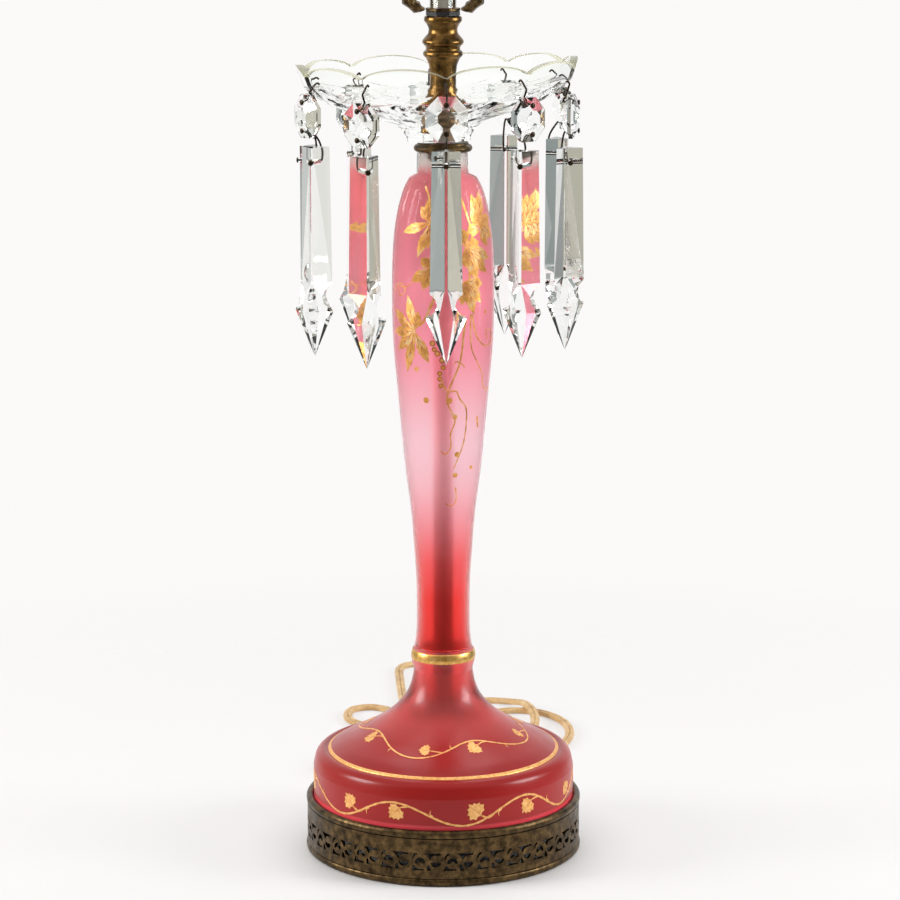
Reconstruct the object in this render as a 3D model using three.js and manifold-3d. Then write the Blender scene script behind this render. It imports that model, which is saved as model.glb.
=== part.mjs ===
// Art glass table lamp: a ruby vase and foot on a pierced brass base, a cut crystal dish hung with ten
// prisms, and a two-light cluster on top. Millimetres, +Z up, origin on the floor under the base's centre.
// The front of the lamp faces -Y.
import * as THREE from "three";
import { ConvexGeometry } from "three/addons/geometries/ConvexGeometry.js";
import { mergeVertices } from "three/addons/utils/BufferGeometryUtils.js";
import Module from "manifold-3d";

const wasm = await Module();
wasm.setup();

// Running gap between pieces that touch
const GAP = 0.3;

// Base: a turned foot ring, a pierced gallery strip, and a rim that carries the glass
const BASE_R = 68.9;
const BASE_BEAD = 0.6;
const FOOT_RING_H = 3.7;
const FOOT_RING_WIDTH = 3.4;
const GALLERY_H = 20;
const GALLERY_WALL = 1.5;
const GALLERY_CELLS = 27;
const PIERCED_FROM = 4.0;
const RIM_H = 4.0;
const RIM_LEDGE_INNER_R = BASE_R - 10.4;
const RIM_LEDGE_TOP = 1.7;
const RIM_SKIRT = 2.7;
const BASE_PLATE_T = 2.0;

// Threaded rod, clamped from below, that carries the whole stack
const ROD_R = 4.8;
const ROD_BORE_R = 3.3;
const ROD_BELOW_NUT = 3.5;
const NUT_FLATS = 15;
const NUT_H = 4;
const NUT_FLANGE_R = 11;
const NUT_FLANGE_T = 1.4;

// Glass foot
const FOOT_WALL_R = BASE_R - 3.3;
const FOOT_GLASS = 4.0;
const FOOT_RING_R = FOOT_WALL_R - 8.2;
const FOOT_SHOULDER_H = 25.0;
const FOOT_DOME_H = 41.5;
const FOOT_STEM_R = 14.7;
const COLLAR_R = 16.0;
const COLLAR_H = 11.0;

// Vase
const VASE_H = 248.8;
const VASE_STEM_R = 13.3;
const VASE_BELLY_R = 25.2;
const VASE_NECK_R = 12.2;
const VASE_NECK_H = 8.0;
const VASE_GLASS = 3.7;

// Check ring under the dish, and the dish itself
const CHECK_R = 14.3;
const CHECK_T = 3.1;
const CHECK_STEP_T = 1.3;
const CHECK_BOSS_H = 4.5;
const DISH_R = 68.6;
const DISH_H = 38.8;
const DISH_GLASS = 3.5;
const DISH_NECK_R = 15.5;
const DISH_CUSP_DROP = 6.0;
const DISH_SHIFT = [-2.0, -0.8];
const DISH_TILT_RIGHT = 1.6;
const DISH_TILT_FRONT = 1.6;
const STRANDS = 10;
const FIRST_STRAND = 4;
const DISH_BORE_R = 7.4;
const DISH_FLOOR = 4.0;
const HOLE_INSET = 4.2;
const HOLE_BELOW_CUSP = 4.6;
const HOLE_R = 1.8;
const WIRE_SEAT = 0.15;

// Pendants: an octagon button and a spear prism on bent pins of brass wire
const WIRE_R = 0.5;
const PIN_HEAD_R = 1.15;
const BUTTON_W = 20;
const BUTTON_H = 21;
const BUTTON_HALF_T = 4.0;
const BUTTON_EDGE_HALF_T = 1.0;
const BUTTON_TABLE_R = 4.2;
const BUTTON_HOLE_IN = 3.7;
const BUTTON_HOLE_R = 1.0;
const BUTTON_OUT = 2.6;
const PRISM_LONG = 102.4;
const PRISM_SHORT = 99.4;
const PRISM_TOP_W = 13.6;
const PRISM_W = 15.5;
const PRISM_BACK = 3.1;
const PRISM_RIDGE = 6.0;
const PRISM_TABLE_W = 1.2;
const PRISM_HEAD_W = 19;
const PRISM_HEAD_T = 11.4;
const PRISM_HEAD_L = 35;
const PRISM_POINT_L = 22.5;
const PRISM_BITE_R = 6.0;
const PRISM_NECK_W = 8.6;
const PRISM_HOLE_DOWN = 7.0;
const PRISM_HOLE_R = 1.35;
const PRISM_IN = 0.6;
const LINK_GAP = 4.4;

// How each strand hangs, from the front one on towards +X: the drop of its button below the dish's hole, the
// directions that its button and its prism face, in degrees round from the front, the prism's length, and whether
// the prism shows its flat face or, as most do, its ridge
const HANGS = [
  { drop: 2.6, buttonFaces: -2, prismFaces: 0, length: PRISM_LONG, flatOut: true },
  { drop: 5.0, buttonFaces: 41, prismFaces: -14, length: PRISM_SHORT },
  { drop: 6.6, buttonFaces: 80, prismFaces: 20, length: PRISM_SHORT, flatOut: true },
  { drop: 5.3, buttonFaces: 108, prismFaces: 66, length: PRISM_SHORT },
  { drop: 5.4, buttonFaces: 152, prismFaces: 170, length: PRISM_LONG },
  { drop: 5.2, buttonFaces: 180, prismFaces: 192, length: PRISM_LONG },
  { drop: 5.6, buttonFaces: 226, prismFaces: 212, length: PRISM_LONG },
  { drop: 5.0, buttonFaces: 250, prismFaces: 276, length: PRISM_LONG },
  { drop: 2.6, buttonFaces: -54, prismFaces: -12, length: PRISM_LONG - 0.8 },
  { drop: 5.3, buttonFaces: -36, prismFaces: 12, length: PRISM_LONG - 0.8 },
];

// Turned spindle, spacer and two-light cluster
const SPINDLE_H = 55.6;
const SPINDLE_FOOT_R = 11.0;
const SPACER_R = 8.3;
const SPACER_T = 2.0;
const HUB_R = 8.4;
const HUB_T = 1.2;
const RISER_R = 6.6;
const RISER_WALL = 1.5;
const RISER_L = 178;
const FINIAL_H = 27;
const FINIAL_R = 8.5;
const ARM_REACH = 55.8;
const ARM_RISE = 39;
const ARM_WIDTH = 7;
const HUSK_R = 11.5;
const HUSK_H = 7;

// Lamp sockets
const SOCKET_R = 17;
const SOCKET_CAP_H = 15;
const SOCKET_SHELL_H = 33;
const SOCKET_WALL = 0.9;
const SOCKET_BORE_R = 13.3;
const SOCKET_FLOOR = 15;
const KEY_HEIGHT = 7;
const KEY_SHAFT_R = 1.6;
const KEY_SHAFT_L = 9;
const KEY_PADDLE_R = 6;

// Flexible lead
const CORD_R = 2.6;
const CORD_LENGTH = 1800;
const CORD_LIFT = 0.1;
const BUSHING_R = 4.2;
const BUSHING_FLANGE_R = 5.4;
const BUSHING_FLANGE_T = 1.2;
const COIL_X = -60;
const COIL_Y = 128;
const COIL_TURNS_IN = 2.5;
const COIL_TURNS_OUT = 2.5;
const COIL_TAIL = 14;
const COIL_PITCH_IN = 6.0;
const COIL_PITCH_OUT = 8.2;
const COIL_LAYER = 6.0;
const PLUG_BODY = [18, 13, 25];
const PLUG_BLADE = [6.3, 1.5, 16];
const PLUG_BLADE_SPREAD = 12.7;

// Facets round a turned piece
const FINE = 30;
const MEDIUM = 22;
const COARSE = 16;

const RAD = Math.PI / 180;

const brass = { color: 0x5f4a28, roughness: 0.45, metalness: 0.9 };
const gilt = { color: 0x9a7434, roughness: 0.35, metalness: 0.9 };
const nickel = { color: 0xa59f86, roughness: 0.2, metalness: 1 };
const steel = { color: 0x6c6a66, roughness: 0.5, metalness: 0.9 };
const wire = { color: 0x3a3326, roughness: 0.4, metalness: 0.8 };
const black = { color: 0x17140f, roughness: 0.6, metalness: 0.1 };
const ruby = { color: 0xa8222c, roughness: 0.25, metalness: 0 };
const rose = { color: 0xe2687f, roughness: 0.25, metalness: 0 };
const crystal = { color: 0xe9ece2, roughness: 0.05, metalness: 0 };
const fibre = { color: 0x2b2723, roughness: 0.8, metalness: 0 };
const vinyl = { color: 0xe0b77f, roughness: 0.5, metalness: 0 };

// Shapes

// Only the positions, with shared corners joined, as a boolean needs them.
function positionsOnly(geometry) {
  const bare = new THREE.BufferGeometry();
  bare.setAttribute("position", geometry.getAttribute("position"));
  if (geometry.index) bare.setIndex(geometry.index);
  return mergeVertices(bare, 1e-3);
}

function toSolid(geometry) {
  const merged = positionsOnly(geometry);
  return new wasm.Manifold(
    new wasm.Mesh({
      numProp: 3,
      vertProperties: merged.getAttribute("position").array,
      triVerts: new Uint32Array(merged.index.array),
    }),
  );
}

function toGeometry(solid) {
  const mesh = solid.getMesh();
  const geometry = new THREE.BufferGeometry();
  geometry.setAttribute("position", new THREE.BufferAttribute(mesh.vertProperties, 3));
  geometry.setIndex(new THREE.BufferAttribute(mesh.triVerts, 1));
  const flat = geometry.toNonIndexed();
  flat.computeVertexNormals();
  return flat;
}

// The first geometry with the others joined to it.
function join(first, ...others) {
  return toGeometry(others.reduce((sum, g) => sum.add(toSolid(g)), toSolid(first)));
}

// The first geometry with the others cut from it.
function cut(first, ...others) {
  return toGeometry(others.reduce((rest, g) => rest.subtract(toSolid(g)), toSolid(first)));
}

// A turned piece from a closed outline of [radius, height] corners that runs anticlockwise. An outline that
// starts and ends on the axis is closed by the axis itself.
function turned(outline, facets = MEDIUM) {
  const points = outline.map(([r, z]) => new THREE.Vector2(r, z));
  const onAxis = outline[0][0] === 0 && outline[outline.length - 1][0] === 0;
  if (!onAxis) points.push(points[0].clone());
  return new THREE.LatheGeometry(points, facets).rotateX(Math.PI / 2);
}

// A plain ring or sleeve.
function sleeve(innerR, outerR, bottom, top, facets = MEDIUM) {
  return turned([[innerR, bottom], [outerR, bottom], [outerR, top], [innerR, top]], facets);
}

function cylinder(radius, from, to, facets = 8) {
  const a = new THREE.Vector3(...from);
  const b = new THREE.Vector3(...to);
  const along = b.clone().sub(a);
  const turn = new THREE.Quaternion().setFromUnitVectors(new THREE.Vector3(0, 1, 0), along.clone().normalize());
  const middle = a.add(b).multiplyScalar(0.5);
  return new THREE.CylinderGeometry(radius, radius, along.length(), facets).applyQuaternion(turn).translate(...middle);
}

function hull(points) {
  return new ConvexGeometry(points.map((p) => new THREE.Vector3(...p)));
}

// A wire or cord of round section along a curve.
function tube(curve, radius, steps, sides) {
  const section = new THREE.Shape();
  for (let i = 0; i < sides; i++) {
    const a = (2 * Math.PI * i) / sides;
    section[i ? "lineTo" : "moveTo"](radius * Math.cos(a), radius * Math.sin(a));
  }
  return new THREE.ExtrudeGeometry(section, { steps, extrudePath: curve, curveSegments: 1 });
}

function smooth(points) {
  return new THREE.CatmullRomCurve3(points.map((p) => new THREE.Vector3(...p)), false, "centripetal");
}

// Points of a smooth outline through the given [radius, height] corners.
function spline(corners, pieces) {
  const curve = new THREE.SplineCurve(corners.map(([r, z]) => new THREE.Vector2(r, z)));
  return curve.getPoints(pieces).map((p) => [p.x, p.y]);
}

// The outline moved inwards by a wall, each corner along its own normal, and run backwards.
function insetReversed(outline, wall) {
  const moved = outline.map((p, i) => {
    const before = outline[Math.max(0, i - 1)];
    const after = outline[Math.min(outline.length - 1, i + 1)];
    const run = [after[0] - before[0], after[1] - before[1]];
    const size = Math.hypot(...run);
    return [p[0] - (wall * run[1]) / size, p[1] + (wall * run[0]) / size];
  });
  return moved.reverse();
}

const lamp = new THREE.Group();

function add(name, geometry, finish, parent = lamp) {
  const mesh = new THREE.Mesh(geometry, new THREE.MeshStandardMaterial(finish));
  mesh.name = name;
  parent.add(mesh);
  return mesh;
}

// Heights of the stack, each from the piece below it
const galleryZ = FOOT_RING_H + GAP;
const rimZ = galleryZ + GALLERY_H + GAP;
const seatZ = rimZ + RIM_LEDGE_TOP;
const footZ = seatZ + GAP;
const plateTop = seatZ - RIM_LEDGE_TOP - 0.5 - GAP;
const nutTop = plateTop - BASE_PLATE_T - GAP;
const rodZ = nutTop - NUT_FLANGE_T - NUT_H - ROD_BELOW_NUT;
const domeZ = footZ + FOOT_SHOULDER_H;
const collarZ = domeZ + FOOT_DOME_H;
const vaseZ = collarZ + COLLAR_H + GAP;
const checkZ = vaseZ + VASE_H + GAP;
const dishZ = checkZ + CHECK_T + CHECK_STEP_T + GAP;
const dishLean = Math.hypot(DISH_TILT_RIGHT, DISH_TILT_FRONT) * RAD;
const dishLift = CHECK_R * Math.tan(dishLean);
const dishFloor = dishZ + DISH_FLOOR;
const spindleZ = dishFloor + dishLift + SPINDLE_FOOT_R * Math.tan(dishLean) + GAP;
const spacerZ = spindleZ + SPINDLE_H + GAP;
const hubZ = spacerZ + SPACER_T + GAP;
const riserZ = hubZ + HUB_T + GAP;
const finialZ = riserZ + RISER_L + GAP;
const socketZ = hubZ + ARM_RISE + HUSK_H + GAP;
const boreR = ROD_R + GAP;
const cordZ = galleryZ + GALLERY_H / 2 - 1.1;
const holeR = DISH_R - HOLE_INSET;
const holeZ = dishZ + DISH_H - DISH_CUSP_DROP - HOLE_BELOW_CUSP;

// Base

function crescent(x, y, outerR, innerR, lift, from, to) {
  const points = [];
  for (let i = 0; i <= 3; i++) {
    const a = RAD * (from + ((to - from) * i) / 3);
    points.push([x + outerR * Math.cos(a), y + outerR * Math.sin(a)]);
  }
  for (let i = 2; i >= 1; i--) {
    const a = RAD * (from + ((to - from) * i) / 3);
    points.push([x + innerR * Math.cos(a), y + lift + innerR * Math.sin(a)]);
  }
  return points;
}

// One repeat of the wave scroll, drawn in a cell 16 wide and 10 high.
function scrollHoles() {
  return [
    [[1.0, 6.2], [1.8, 6.5], [3.1, 8.9], [2.2, 9.0]],
    crescent(4.6, 4.0, 2.3, 1.3, -0.6, -8, 188),
    [[1.0, 0.5], [6.7, 0.5], [6.5, 1.2], [3.4, 1.4], [1.5, 2.6]],
    [[7.0, 8.9], [8.9, 7.8], [10.1, 6.2], [11.4, 7.8], [15.1, 8.2], [15.0, 8.9]],
    crescent(12.3, 4.4, 2.3, 1.3, 0.6, 352, 188),
  ];
}

// A flat pierced strip rolled into a ring: each cell is drawn flat, and its corners go round the ring.
function piercedRing(outerR, wall, bottom, height) {
  const cellW = 16;
  const scaleY = (height - 2 * PIERCED_FROM) / 12;
  const stretch = cellW / ((2 * Math.PI * outerR) / GALLERY_CELLS);
  const corner = (u, v) => new THREE.Vector2(u, v);
  const edge = [0, cellW / 2, cellW];
  const contour = [...edge.map((u) => corner(u, 0)), ...edge.slice().reverse().map((u) => corner(u, height))];
  const isTopOrBottom = (i) => i !== edge.length - 1 && i !== contour.length - 1;
  const positions = [];
  const place = (cell, p, r) => {
    const a = (2 * Math.PI * (cell - 0.5 + p.x / cellW)) / GALLERY_CELLS + Math.PI / 2;
    return [r * Math.cos(a), r * Math.sin(a), bottom + p.y];
  };
  for (let cell = 0; cell < GALLERY_CELLS; cell++) {
    const ring = [];
    for (let i = 0; i < 10; i++) {
      const a = (2 * Math.PI * i) / 10;
      const holeRadius = BUSHING_R + GAP;
      ring.push([cellW / 2 + holeRadius * stretch * Math.cos(a), cordZ - bottom + holeRadius * Math.sin(a)]);
    }
    const pattern = scrollHoles().map((hole) => hole.map(([u, v]) => [u, PIERCED_FROM + v * scaleY]));
    const holes = (cell === 0 ? [ring] : pattern).map((hole) => hole.map(([u, v]) => corner(u, v)));
    for (const hole of holes) if (!THREE.ShapeUtils.isClockWise(hole)) hole.reverse();
    const all = [...contour, ...holes.flat()];
    for (const [a, b, c] of THREE.ShapeUtils.triangulateShape(contour, holes)) {
      positions.push(...place(cell, all[a], outerR), ...place(cell, all[b], outerR), ...place(cell, all[c], outerR));
      const r = outerR - wall;
      positions.push(...place(cell, all[a], r), ...place(cell, all[c], r), ...place(cell, all[b], r));
    }
    for (const loop of [contour, ...holes]) {
      loop.forEach((p, i) => {
        if (loop === contour && !isTopOrBottom(i)) return;
        const q = loop[(i + 1) % loop.length];
        const [po, qo] = [place(cell, p, outerR), place(cell, q, outerR)];
        const [pi, qi] = [place(cell, p, outerR - wall), place(cell, q, outerR - wall)];
        positions.push(...po, ...pi, ...qo, ...qo, ...pi, ...qi);
      });
    }
  }
  const geometry = new THREE.BufferGeometry();
  geometry.setAttribute("position", new THREE.Float32BufferAttribute(positions, 3));
  geometry.computeVertexNormals();
  return geometry;
}

function buildBase() {
  const stripInner = BASE_R - GALLERY_WALL - 2 * GAP;
  const bead = BASE_R + BASE_BEAD;
  const innerR = BASE_R - FOOT_RING_WIDTH;
  const footRing = [
    [innerR, 0],
    [BASE_R - 0.7, 0],
    [bead - 0.2, 0.8],
    [bead, 1.9],
    [bead - 0.2, 3.0],
    [BASE_R, FOOT_RING_H],
    [stripInner, FOOT_RING_H],
    [stripInner, FOOT_RING_H + 2.3],
    [innerR, FOOT_RING_H + 2.3],
  ];
  add("base_foot_ring", turned(footRing, FINE), brass);
  add("base_gallery", piercedRing(BASE_R, GALLERY_WALL, galleryZ, GALLERY_H), brass);
  const glassR = FOOT_WALL_R + GAP + 0.1;
  const rim = [
    [RIM_LEDGE_INNER_R, rimZ - 0.5],
    [stripInner - 1.9, rimZ - 0.5],
    [stripInner - 1.9, rimZ - RIM_SKIRT],
    [stripInner, rimZ - RIM_SKIRT],
    [stripInner, rimZ],
    [BASE_R, rimZ],
    [bead - 0.2, rimZ + 1.0],
    [bead - 0.2, rimZ + 2.5],
    [bead - 1.0, rimZ + RIM_H - 0.4],
    [glassR + 1.2, rimZ + RIM_H],
    [glassR, rimZ + RIM_H - 0.5],
    [glassR, seatZ],
    [RIM_LEDGE_INNER_R, seatZ],
  ];
  add("base_top_rim", turned(rim, FINE), brass);
  const plateR = stripInner - 1.9 - GAP;
  add("base_plate", sleeve(boreR, plateR, plateTop - BASE_PLATE_T, plateTop, FINE), steel);
}

function buildRod() {
  add("threaded_rod", sleeve(ROD_BORE_R, ROD_R, rodZ, finialZ + FINIAL_H * 0.45, COARSE), steel);
  const flange = sleeve(boreR, NUT_FLANGE_R, nutTop - NUT_FLANGE_T, nutTop, COARSE);
  const hexR = NUT_FLATS / 2 / Math.cos(30 * RAD);
  const hex = cylinder(hexR, [0, 0, nutTop - NUT_FLANGE_T - NUT_H], [0, 0, nutTop - 0.1], 6);
  const bore = cylinder(boreR, [0, 0, rodZ], [0, 0, nutTop + 1], COARSE);
  add("lock_nut", cut(join(flange, hex), bore), steel);
}

// Glass

function footOutline() {
  const shoulder = [
    [FOOT_WALL_R, footZ],
    [FOOT_WALL_R, domeZ - 10],
    [FOOT_WALL_R - 0.8, domeZ - 4.5],
    [FOOT_WALL_R - 2.6, domeZ - 1.3],
    [FOOT_WALL_R - 5.4, domeZ + 0.2],
    [FOOT_RING_R + 1.3, domeZ - 0.3],
    [FOOT_RING_R, domeZ + 0.5],
  ];
  const rise = [
    [0.88, 0.09],
    [0.73, 0.165],
    [0.57, 0.25],
    [0.4, 0.36],
    [0.24, 0.49],
    [0.1, 0.66],
    [0.03, 0.83],
    [0.0, 1.0],
  ].map(([out, up]) => [FOOT_STEM_R + (FOOT_RING_R - FOOT_STEM_R) * out, domeZ + FOOT_DOME_H * up]);
  const dome = spline([[FOOT_RING_R, domeZ + 0.5], ...rise], 9).slice(1);
  const collar = [
    [COLLAR_R - 0.6, collarZ + 3.0],
    [COLLAR_R, collarZ + 5.2],
    [COLLAR_R, collarZ + 8.0],
    [COLLAR_R - 0.7, collarZ + 10.0],
    [VASE_STEM_R + 0.8, collarZ + COLLAR_H],
  ];
  return [...shoulder, ...dome, ...collar];
}

function vaseOutline() {
  const swell = [
    [0.0, 0.1],
    [0.03, 0.02],
    [0.08, 0.0],
    [0.14, 0.02],
    [0.2, 0.1],
    [0.28, 0.23],
    [0.36, 0.45],
    [0.44, 0.62],
    [0.53, 0.79],
    [0.625, 0.96],
    [0.73, 1.0],
    [0.82, 0.94],
    [0.88, 0.78],
    [0.925, 0.53],
    [0.95, 0.27],
  ].map(([up, out]) => [VASE_STEM_R + (VASE_BELLY_R - VASE_STEM_R) * out, vaseZ + VASE_H * up]);
  const neck = [[VASE_NECK_R, vaseZ + VASE_H - VASE_NECK_H], [VASE_NECK_R, vaseZ + VASE_H]];
  return [...spline(swell, 15), ...neck];
}

function buildGlass() {
  const foot = footOutline();
  const footInner = [
    [VASE_STEM_R - VASE_GLASS, collarZ + COLLAR_H],
    [FOOT_STEM_R - FOOT_GLASS, collarZ + 1],
    [FOOT_STEM_R - FOOT_GLASS + 0.8, domeZ + FOOT_DOME_H * 0.7],
    [FOOT_RING_R * 0.4, domeZ + FOOT_DOME_H * 0.32],
    [FOOT_RING_R * 0.72, domeZ + FOOT_DOME_H * 0.1],
    [FOOT_RING_R, domeZ - FOOT_GLASS],
    [FOOT_WALL_R - FOOT_GLASS, domeZ - FOOT_GLASS - 5],
    [FOOT_WALL_R - FOOT_GLASS, footZ],
  ];
  add("glass_foot", turned([...foot, ...footInner], FINE), ruby);
  const vase = vaseOutline();
  const inner = vase.filter((_, i) => i % 3 === 0 || i > vase.length - 3).map(([r, z]) => [r - VASE_GLASS, z]);
  add("vase", turned([...vase, ...inner.reverse()], MEDIUM), rose);
}

// Crystal dish, turned, scalloped and drilled. The hole of strand 0 is FIRST_STRAND degrees round from the front.

function dishOutline() {
  return spline(
    [
      [DISH_NECK_R, dishZ],
      [DISH_NECK_R + 0.9, dishZ + 3],
      [DISH_NECK_R + 5.5, dishZ + 8],
      [DISH_R * 0.437, dishZ + DISH_H * 0.294],
      [DISH_R * 0.729, dishZ + DISH_H * 0.456],
      [DISH_R * 0.831, dishZ + DISH_H * 0.557],
      [DISH_R * 0.911, dishZ + DISH_H * 0.655],
      [DISH_R * 0.965, dishZ + DISH_H * 0.771],
      [DISH_R, dishZ + DISH_H],
    ],
    8,
  );
}

function dishGeometry() {
  const outer = dishOutline();
  const inner = insetReversed(outer, DISH_GLASS).filter(([r], i) => r > DISH_NECK_R + 5 && i % 2 === 0);
  inner[0] = [DISH_R - DISH_GLASS + 0.5, dishZ + DISH_H];
  const recessR = SPINDLE_FOOT_R + Math.hypot(...DISH_SHIFT) + 2 * GAP;
  const middle = [[recessR + 0.6, dishFloor + 4.5], [recessR, dishFloor], [DISH_BORE_R, dishFloor]];
  const bowl = turned([[DISH_BORE_R, dishZ], ...outer, ...inner, ...middle], STRANDS * 4);
  bowl.rotateZ(FIRST_STRAND * RAD);
  const position = bowl.getAttribute("position");
  const from = DISH_H * 0.7;
  for (let i = 0; i < position.count; i++) {
    const [x, y, z] = [position.getX(i), position.getY(i), position.getZ(i) - dishZ];
    if (z <= from) continue;
    const turn = ((Math.atan2(x, -y) / RAD - FIRST_STRAND) * STRANDS) / 360;
    const arch = Math.sqrt(Math.abs(Math.sin(Math.PI * turn)));
    const height = DISH_H - DISH_CUSP_DROP * (1 - arch) - from;
    position.setZ(i, dishZ + from + ((z - from) * height) / (DISH_H - from));
  }
  const drills = strandAngles().map((angle) => {
    const [x, y] = [Math.sin(angle), -Math.cos(angle)];
    const [r, z] = [holeR + WIRE_SEAT, holeZ + WIRE_SEAT];
    const at = (d) => [(r + d) * x, (r + d) * y, z - d];
    return cylinder(HOLE_R, at(-5), at(5), 6);
  });
  return cut(bowl, ...drills);
}

function strandAngles() {
  return HANGS.map((_, i) => (FIRST_STRAND + (360 / STRANDS) * i) * RAD);
}

// The dish sits a little to one side on its ring and leans.
const dishPlace = new THREE.Matrix4()
  .makeTranslation(DISH_SHIFT[0], DISH_SHIFT[1], dishZ)
  .multiply(new THREE.Matrix4().makeRotationY(-DISH_TILT_RIGHT * RAD))
  .multiply(new THREE.Matrix4().makeRotationX(-DISH_TILT_FRONT * RAD))
  .multiply(new THREE.Matrix4().makeTranslation(0, 0, dishLift - dishZ));

// Pendants. In a strand's own frame +X points out of the lamp, +Z up, and the hole in the dish is the origin.

function headedWire(points, steps, heads) {
  const wirePiece = tube(smooth(points), WIRE_R, steps, 4);
  const caps = heads.map(([from, to]) => cylinder(PIN_HEAD_R, from, to, 5));
  return join(wirePiece, ...caps);
}

// A point at a distance along a direction (degrees round the strand's upright axis) from a middle on +X.
function along(middle, direction, distance, z) {
  return [middle + distance * Math.cos(direction * RAD), distance * Math.sin(direction * RAD), z];
}

// Half the thickness of a button at its wire holes.
const holeUp = BUTTON_H / 2 - BUTTON_HOLE_IN;
const holeShare = (holeUp - BUTTON_TABLE_R) / (BUTTON_H / 2 - BUTTON_TABLE_R);
const halfAtHole = BUTTON_HALF_T + (BUTTON_EDGE_HALF_T - BUTTON_HALF_T) * holeShare;
const wireBend = 1.0;

function upperPin(drop, buttonTurn) {
  const w = -drop - BUTTON_HOLE_IN;
  const at = (distance, z) => along(BUTTON_OUT, buttonTurn, distance, z);
  const back = -halfAtHole - WIRE_R - GAP - wireBend * 0.6;
  const points = [
    [-4.4, 0, 2.0],
    [-3.4, 0, 2.9],
    [-2.2, 0, 2.2],
    [0, 0, 0],
    [1.3, 0, -1.3],
    [1.2, 0, -2.1],
    at(back * 0.72, -drop - 0.6),
    at(back, w + wireBend),
    at(back + wireBend * 0.3, w + wireBend * 0.3),
    at(back + wireBend, w),
    at(0, w),
    at(halfAtHole + 0.9, w),
  ];
  return headedWire(points, 10, [[at(halfAtHole + 0.4, w), at(halfAtHole + 1.2, w)]]);
}

function buttonGeometry(drop, buttonTurn, prismTurn) {
  const points = [];
  for (let i = 0; i < 8; i++) {
    const a = (i + 0.5) * 45 * RAD;
    const edgeR = BUTTON_W / 2 / Math.cos(22.5 * RAD);
    const [y, z] = [Math.cos(a), (Math.sin(a) * BUTTON_H) / BUTTON_W];
    for (const side of [-1, 1]) {
      points.push([side * BUTTON_EDGE_HALF_T, y * edgeR, z * edgeR]);
      points.push([side * BUTTON_HALF_T, y * BUTTON_TABLE_R, z * BUTTON_TABLE_R]);
    }
  }
  const reach = BUTTON_HALF_T + 3;
  const drilled = cut(hull(points), cylinder(BUTTON_HOLE_R, [-reach, 0, holeUp], [reach, 0, holeUp], 6));
  drilled.rotateZ(buttonTurn * RAD).translate(BUTTON_OUT, 0, -drop - BUTTON_H / 2);
  return join(drilled, lowerPin(drop, buttonTurn, prismTurn));
}

// The pin from a button's lower hole, bent round behind the prism and out through the prism's hole.
function lowerPin(drop, buttonTurn, prismTurn) {
  const w = -drop - BUTTON_H + BUTTON_HOLE_IN;
  const hole = -drop - BUTTON_H - LINK_GAP - PRISM_HOLE_DOWN;
  const atButton = (distance, z) => along(BUTTON_OUT, buttonTurn, distance, z);
  const atPrism = (distance, z) => along(-PRISM_IN, prismTurn, distance, z);
  const back = -halfAtHole - WIRE_R - 0.2;
  const behind = -PRISM_BACK - WIRE_R - GAP - wireBend * 0.6;
  const points = [
    atButton(halfAtHole + 0.9, w),
    atButton(0, w),
    atButton(back + wireBend, w),
    atButton(back, w - wireBend),
    atPrism(behind * 0.85, hole + PRISM_HOLE_DOWN + LINK_GAP * 0.4),
    atPrism(behind - 0.3, hole + PRISM_HOLE_DOWN * 0.5),
    atPrism(behind, hole + wireBend),
    atPrism(behind + wireBend * 0.3, hole + wireBend * 0.3),
    atPrism(behind + wireBend, hole),
    atPrism(0, hole),
    atPrism(PRISM_RIDGE + 1.5, hole),
  ];
  return headedWire(points, 11, [
    [atButton(halfAtHole + 0.4, w), atButton(halfAtHole + 1.2, w)],
    [atPrism(PRISM_RIDGE + 0.9, hole), atPrism(PRISM_RIDGE + 1.7, hole)],
  ]);
}

// A spear prism with its top's middle at the origin: flat behind, ridged in front, waisted above its point.
// With its flat face out, its ridge is behind.
function prismGeometry(length, flatOut) {
  const barEnd = -(length - PRISM_HEAD_L);
  const shoulder = -(length - PRISM_POINT_L);
  const middle = (PRISM_RIDGE - PRISM_BACK) / 2;
  const [flatX, ridgeX] = flatOut ? [PRISM_RIDGE, -PRISM_BACK] : [-PRISM_BACK, PRISM_RIDGE];
  const section = (width, z) => [
    [flatX, width / 2, z],
    [flatX, -width / 2, z],
    [ridgeX, PRISM_TABLE_W / 2, z],
    [ridgeX, -PRISM_TABLE_W / 2, z],
  ];
  const girdle = [];
  for (const [y, x] of [[1, 0], [0.36, 1], [-0.36, 1], [-1, 0], [-0.36, -1], [0.36, -1]]) {
    girdle.push([middle + (x * PRISM_HEAD_T) / 2, (y * PRISM_HEAD_W) / 2, shoulder]);
  }
  const bar = hull([...section(PRISM_TOP_W, 0), ...section(PRISM_W, barEnd)]);
  const neck = hull([...section(PRISM_W, barEnd + 1), ...girdle]);
  const point = hull([...girdle, [middle, 0, -length]]);
  const reach = PRISM_HEAD_T + 1;
  const biteX = PRISM_NECK_W / 2 + PRISM_BITE_R;
  const biteZ = (barEnd + shoulder) / 2 + 0.6;
  const bites = [-1, 1].map((s) => cylinder(PRISM_BITE_R, [-reach, s * biteX, biteZ], [reach, s * biteX, biteZ], 12));
  const hole = cylinder(PRISM_HOLE_R, [-reach, 0, -PRISM_HOLE_DOWN], [reach, 0, -PRISM_HOLE_DOWN], 6);
  return cut(join(bar, neck, point), ...bites, hole);
}

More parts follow.
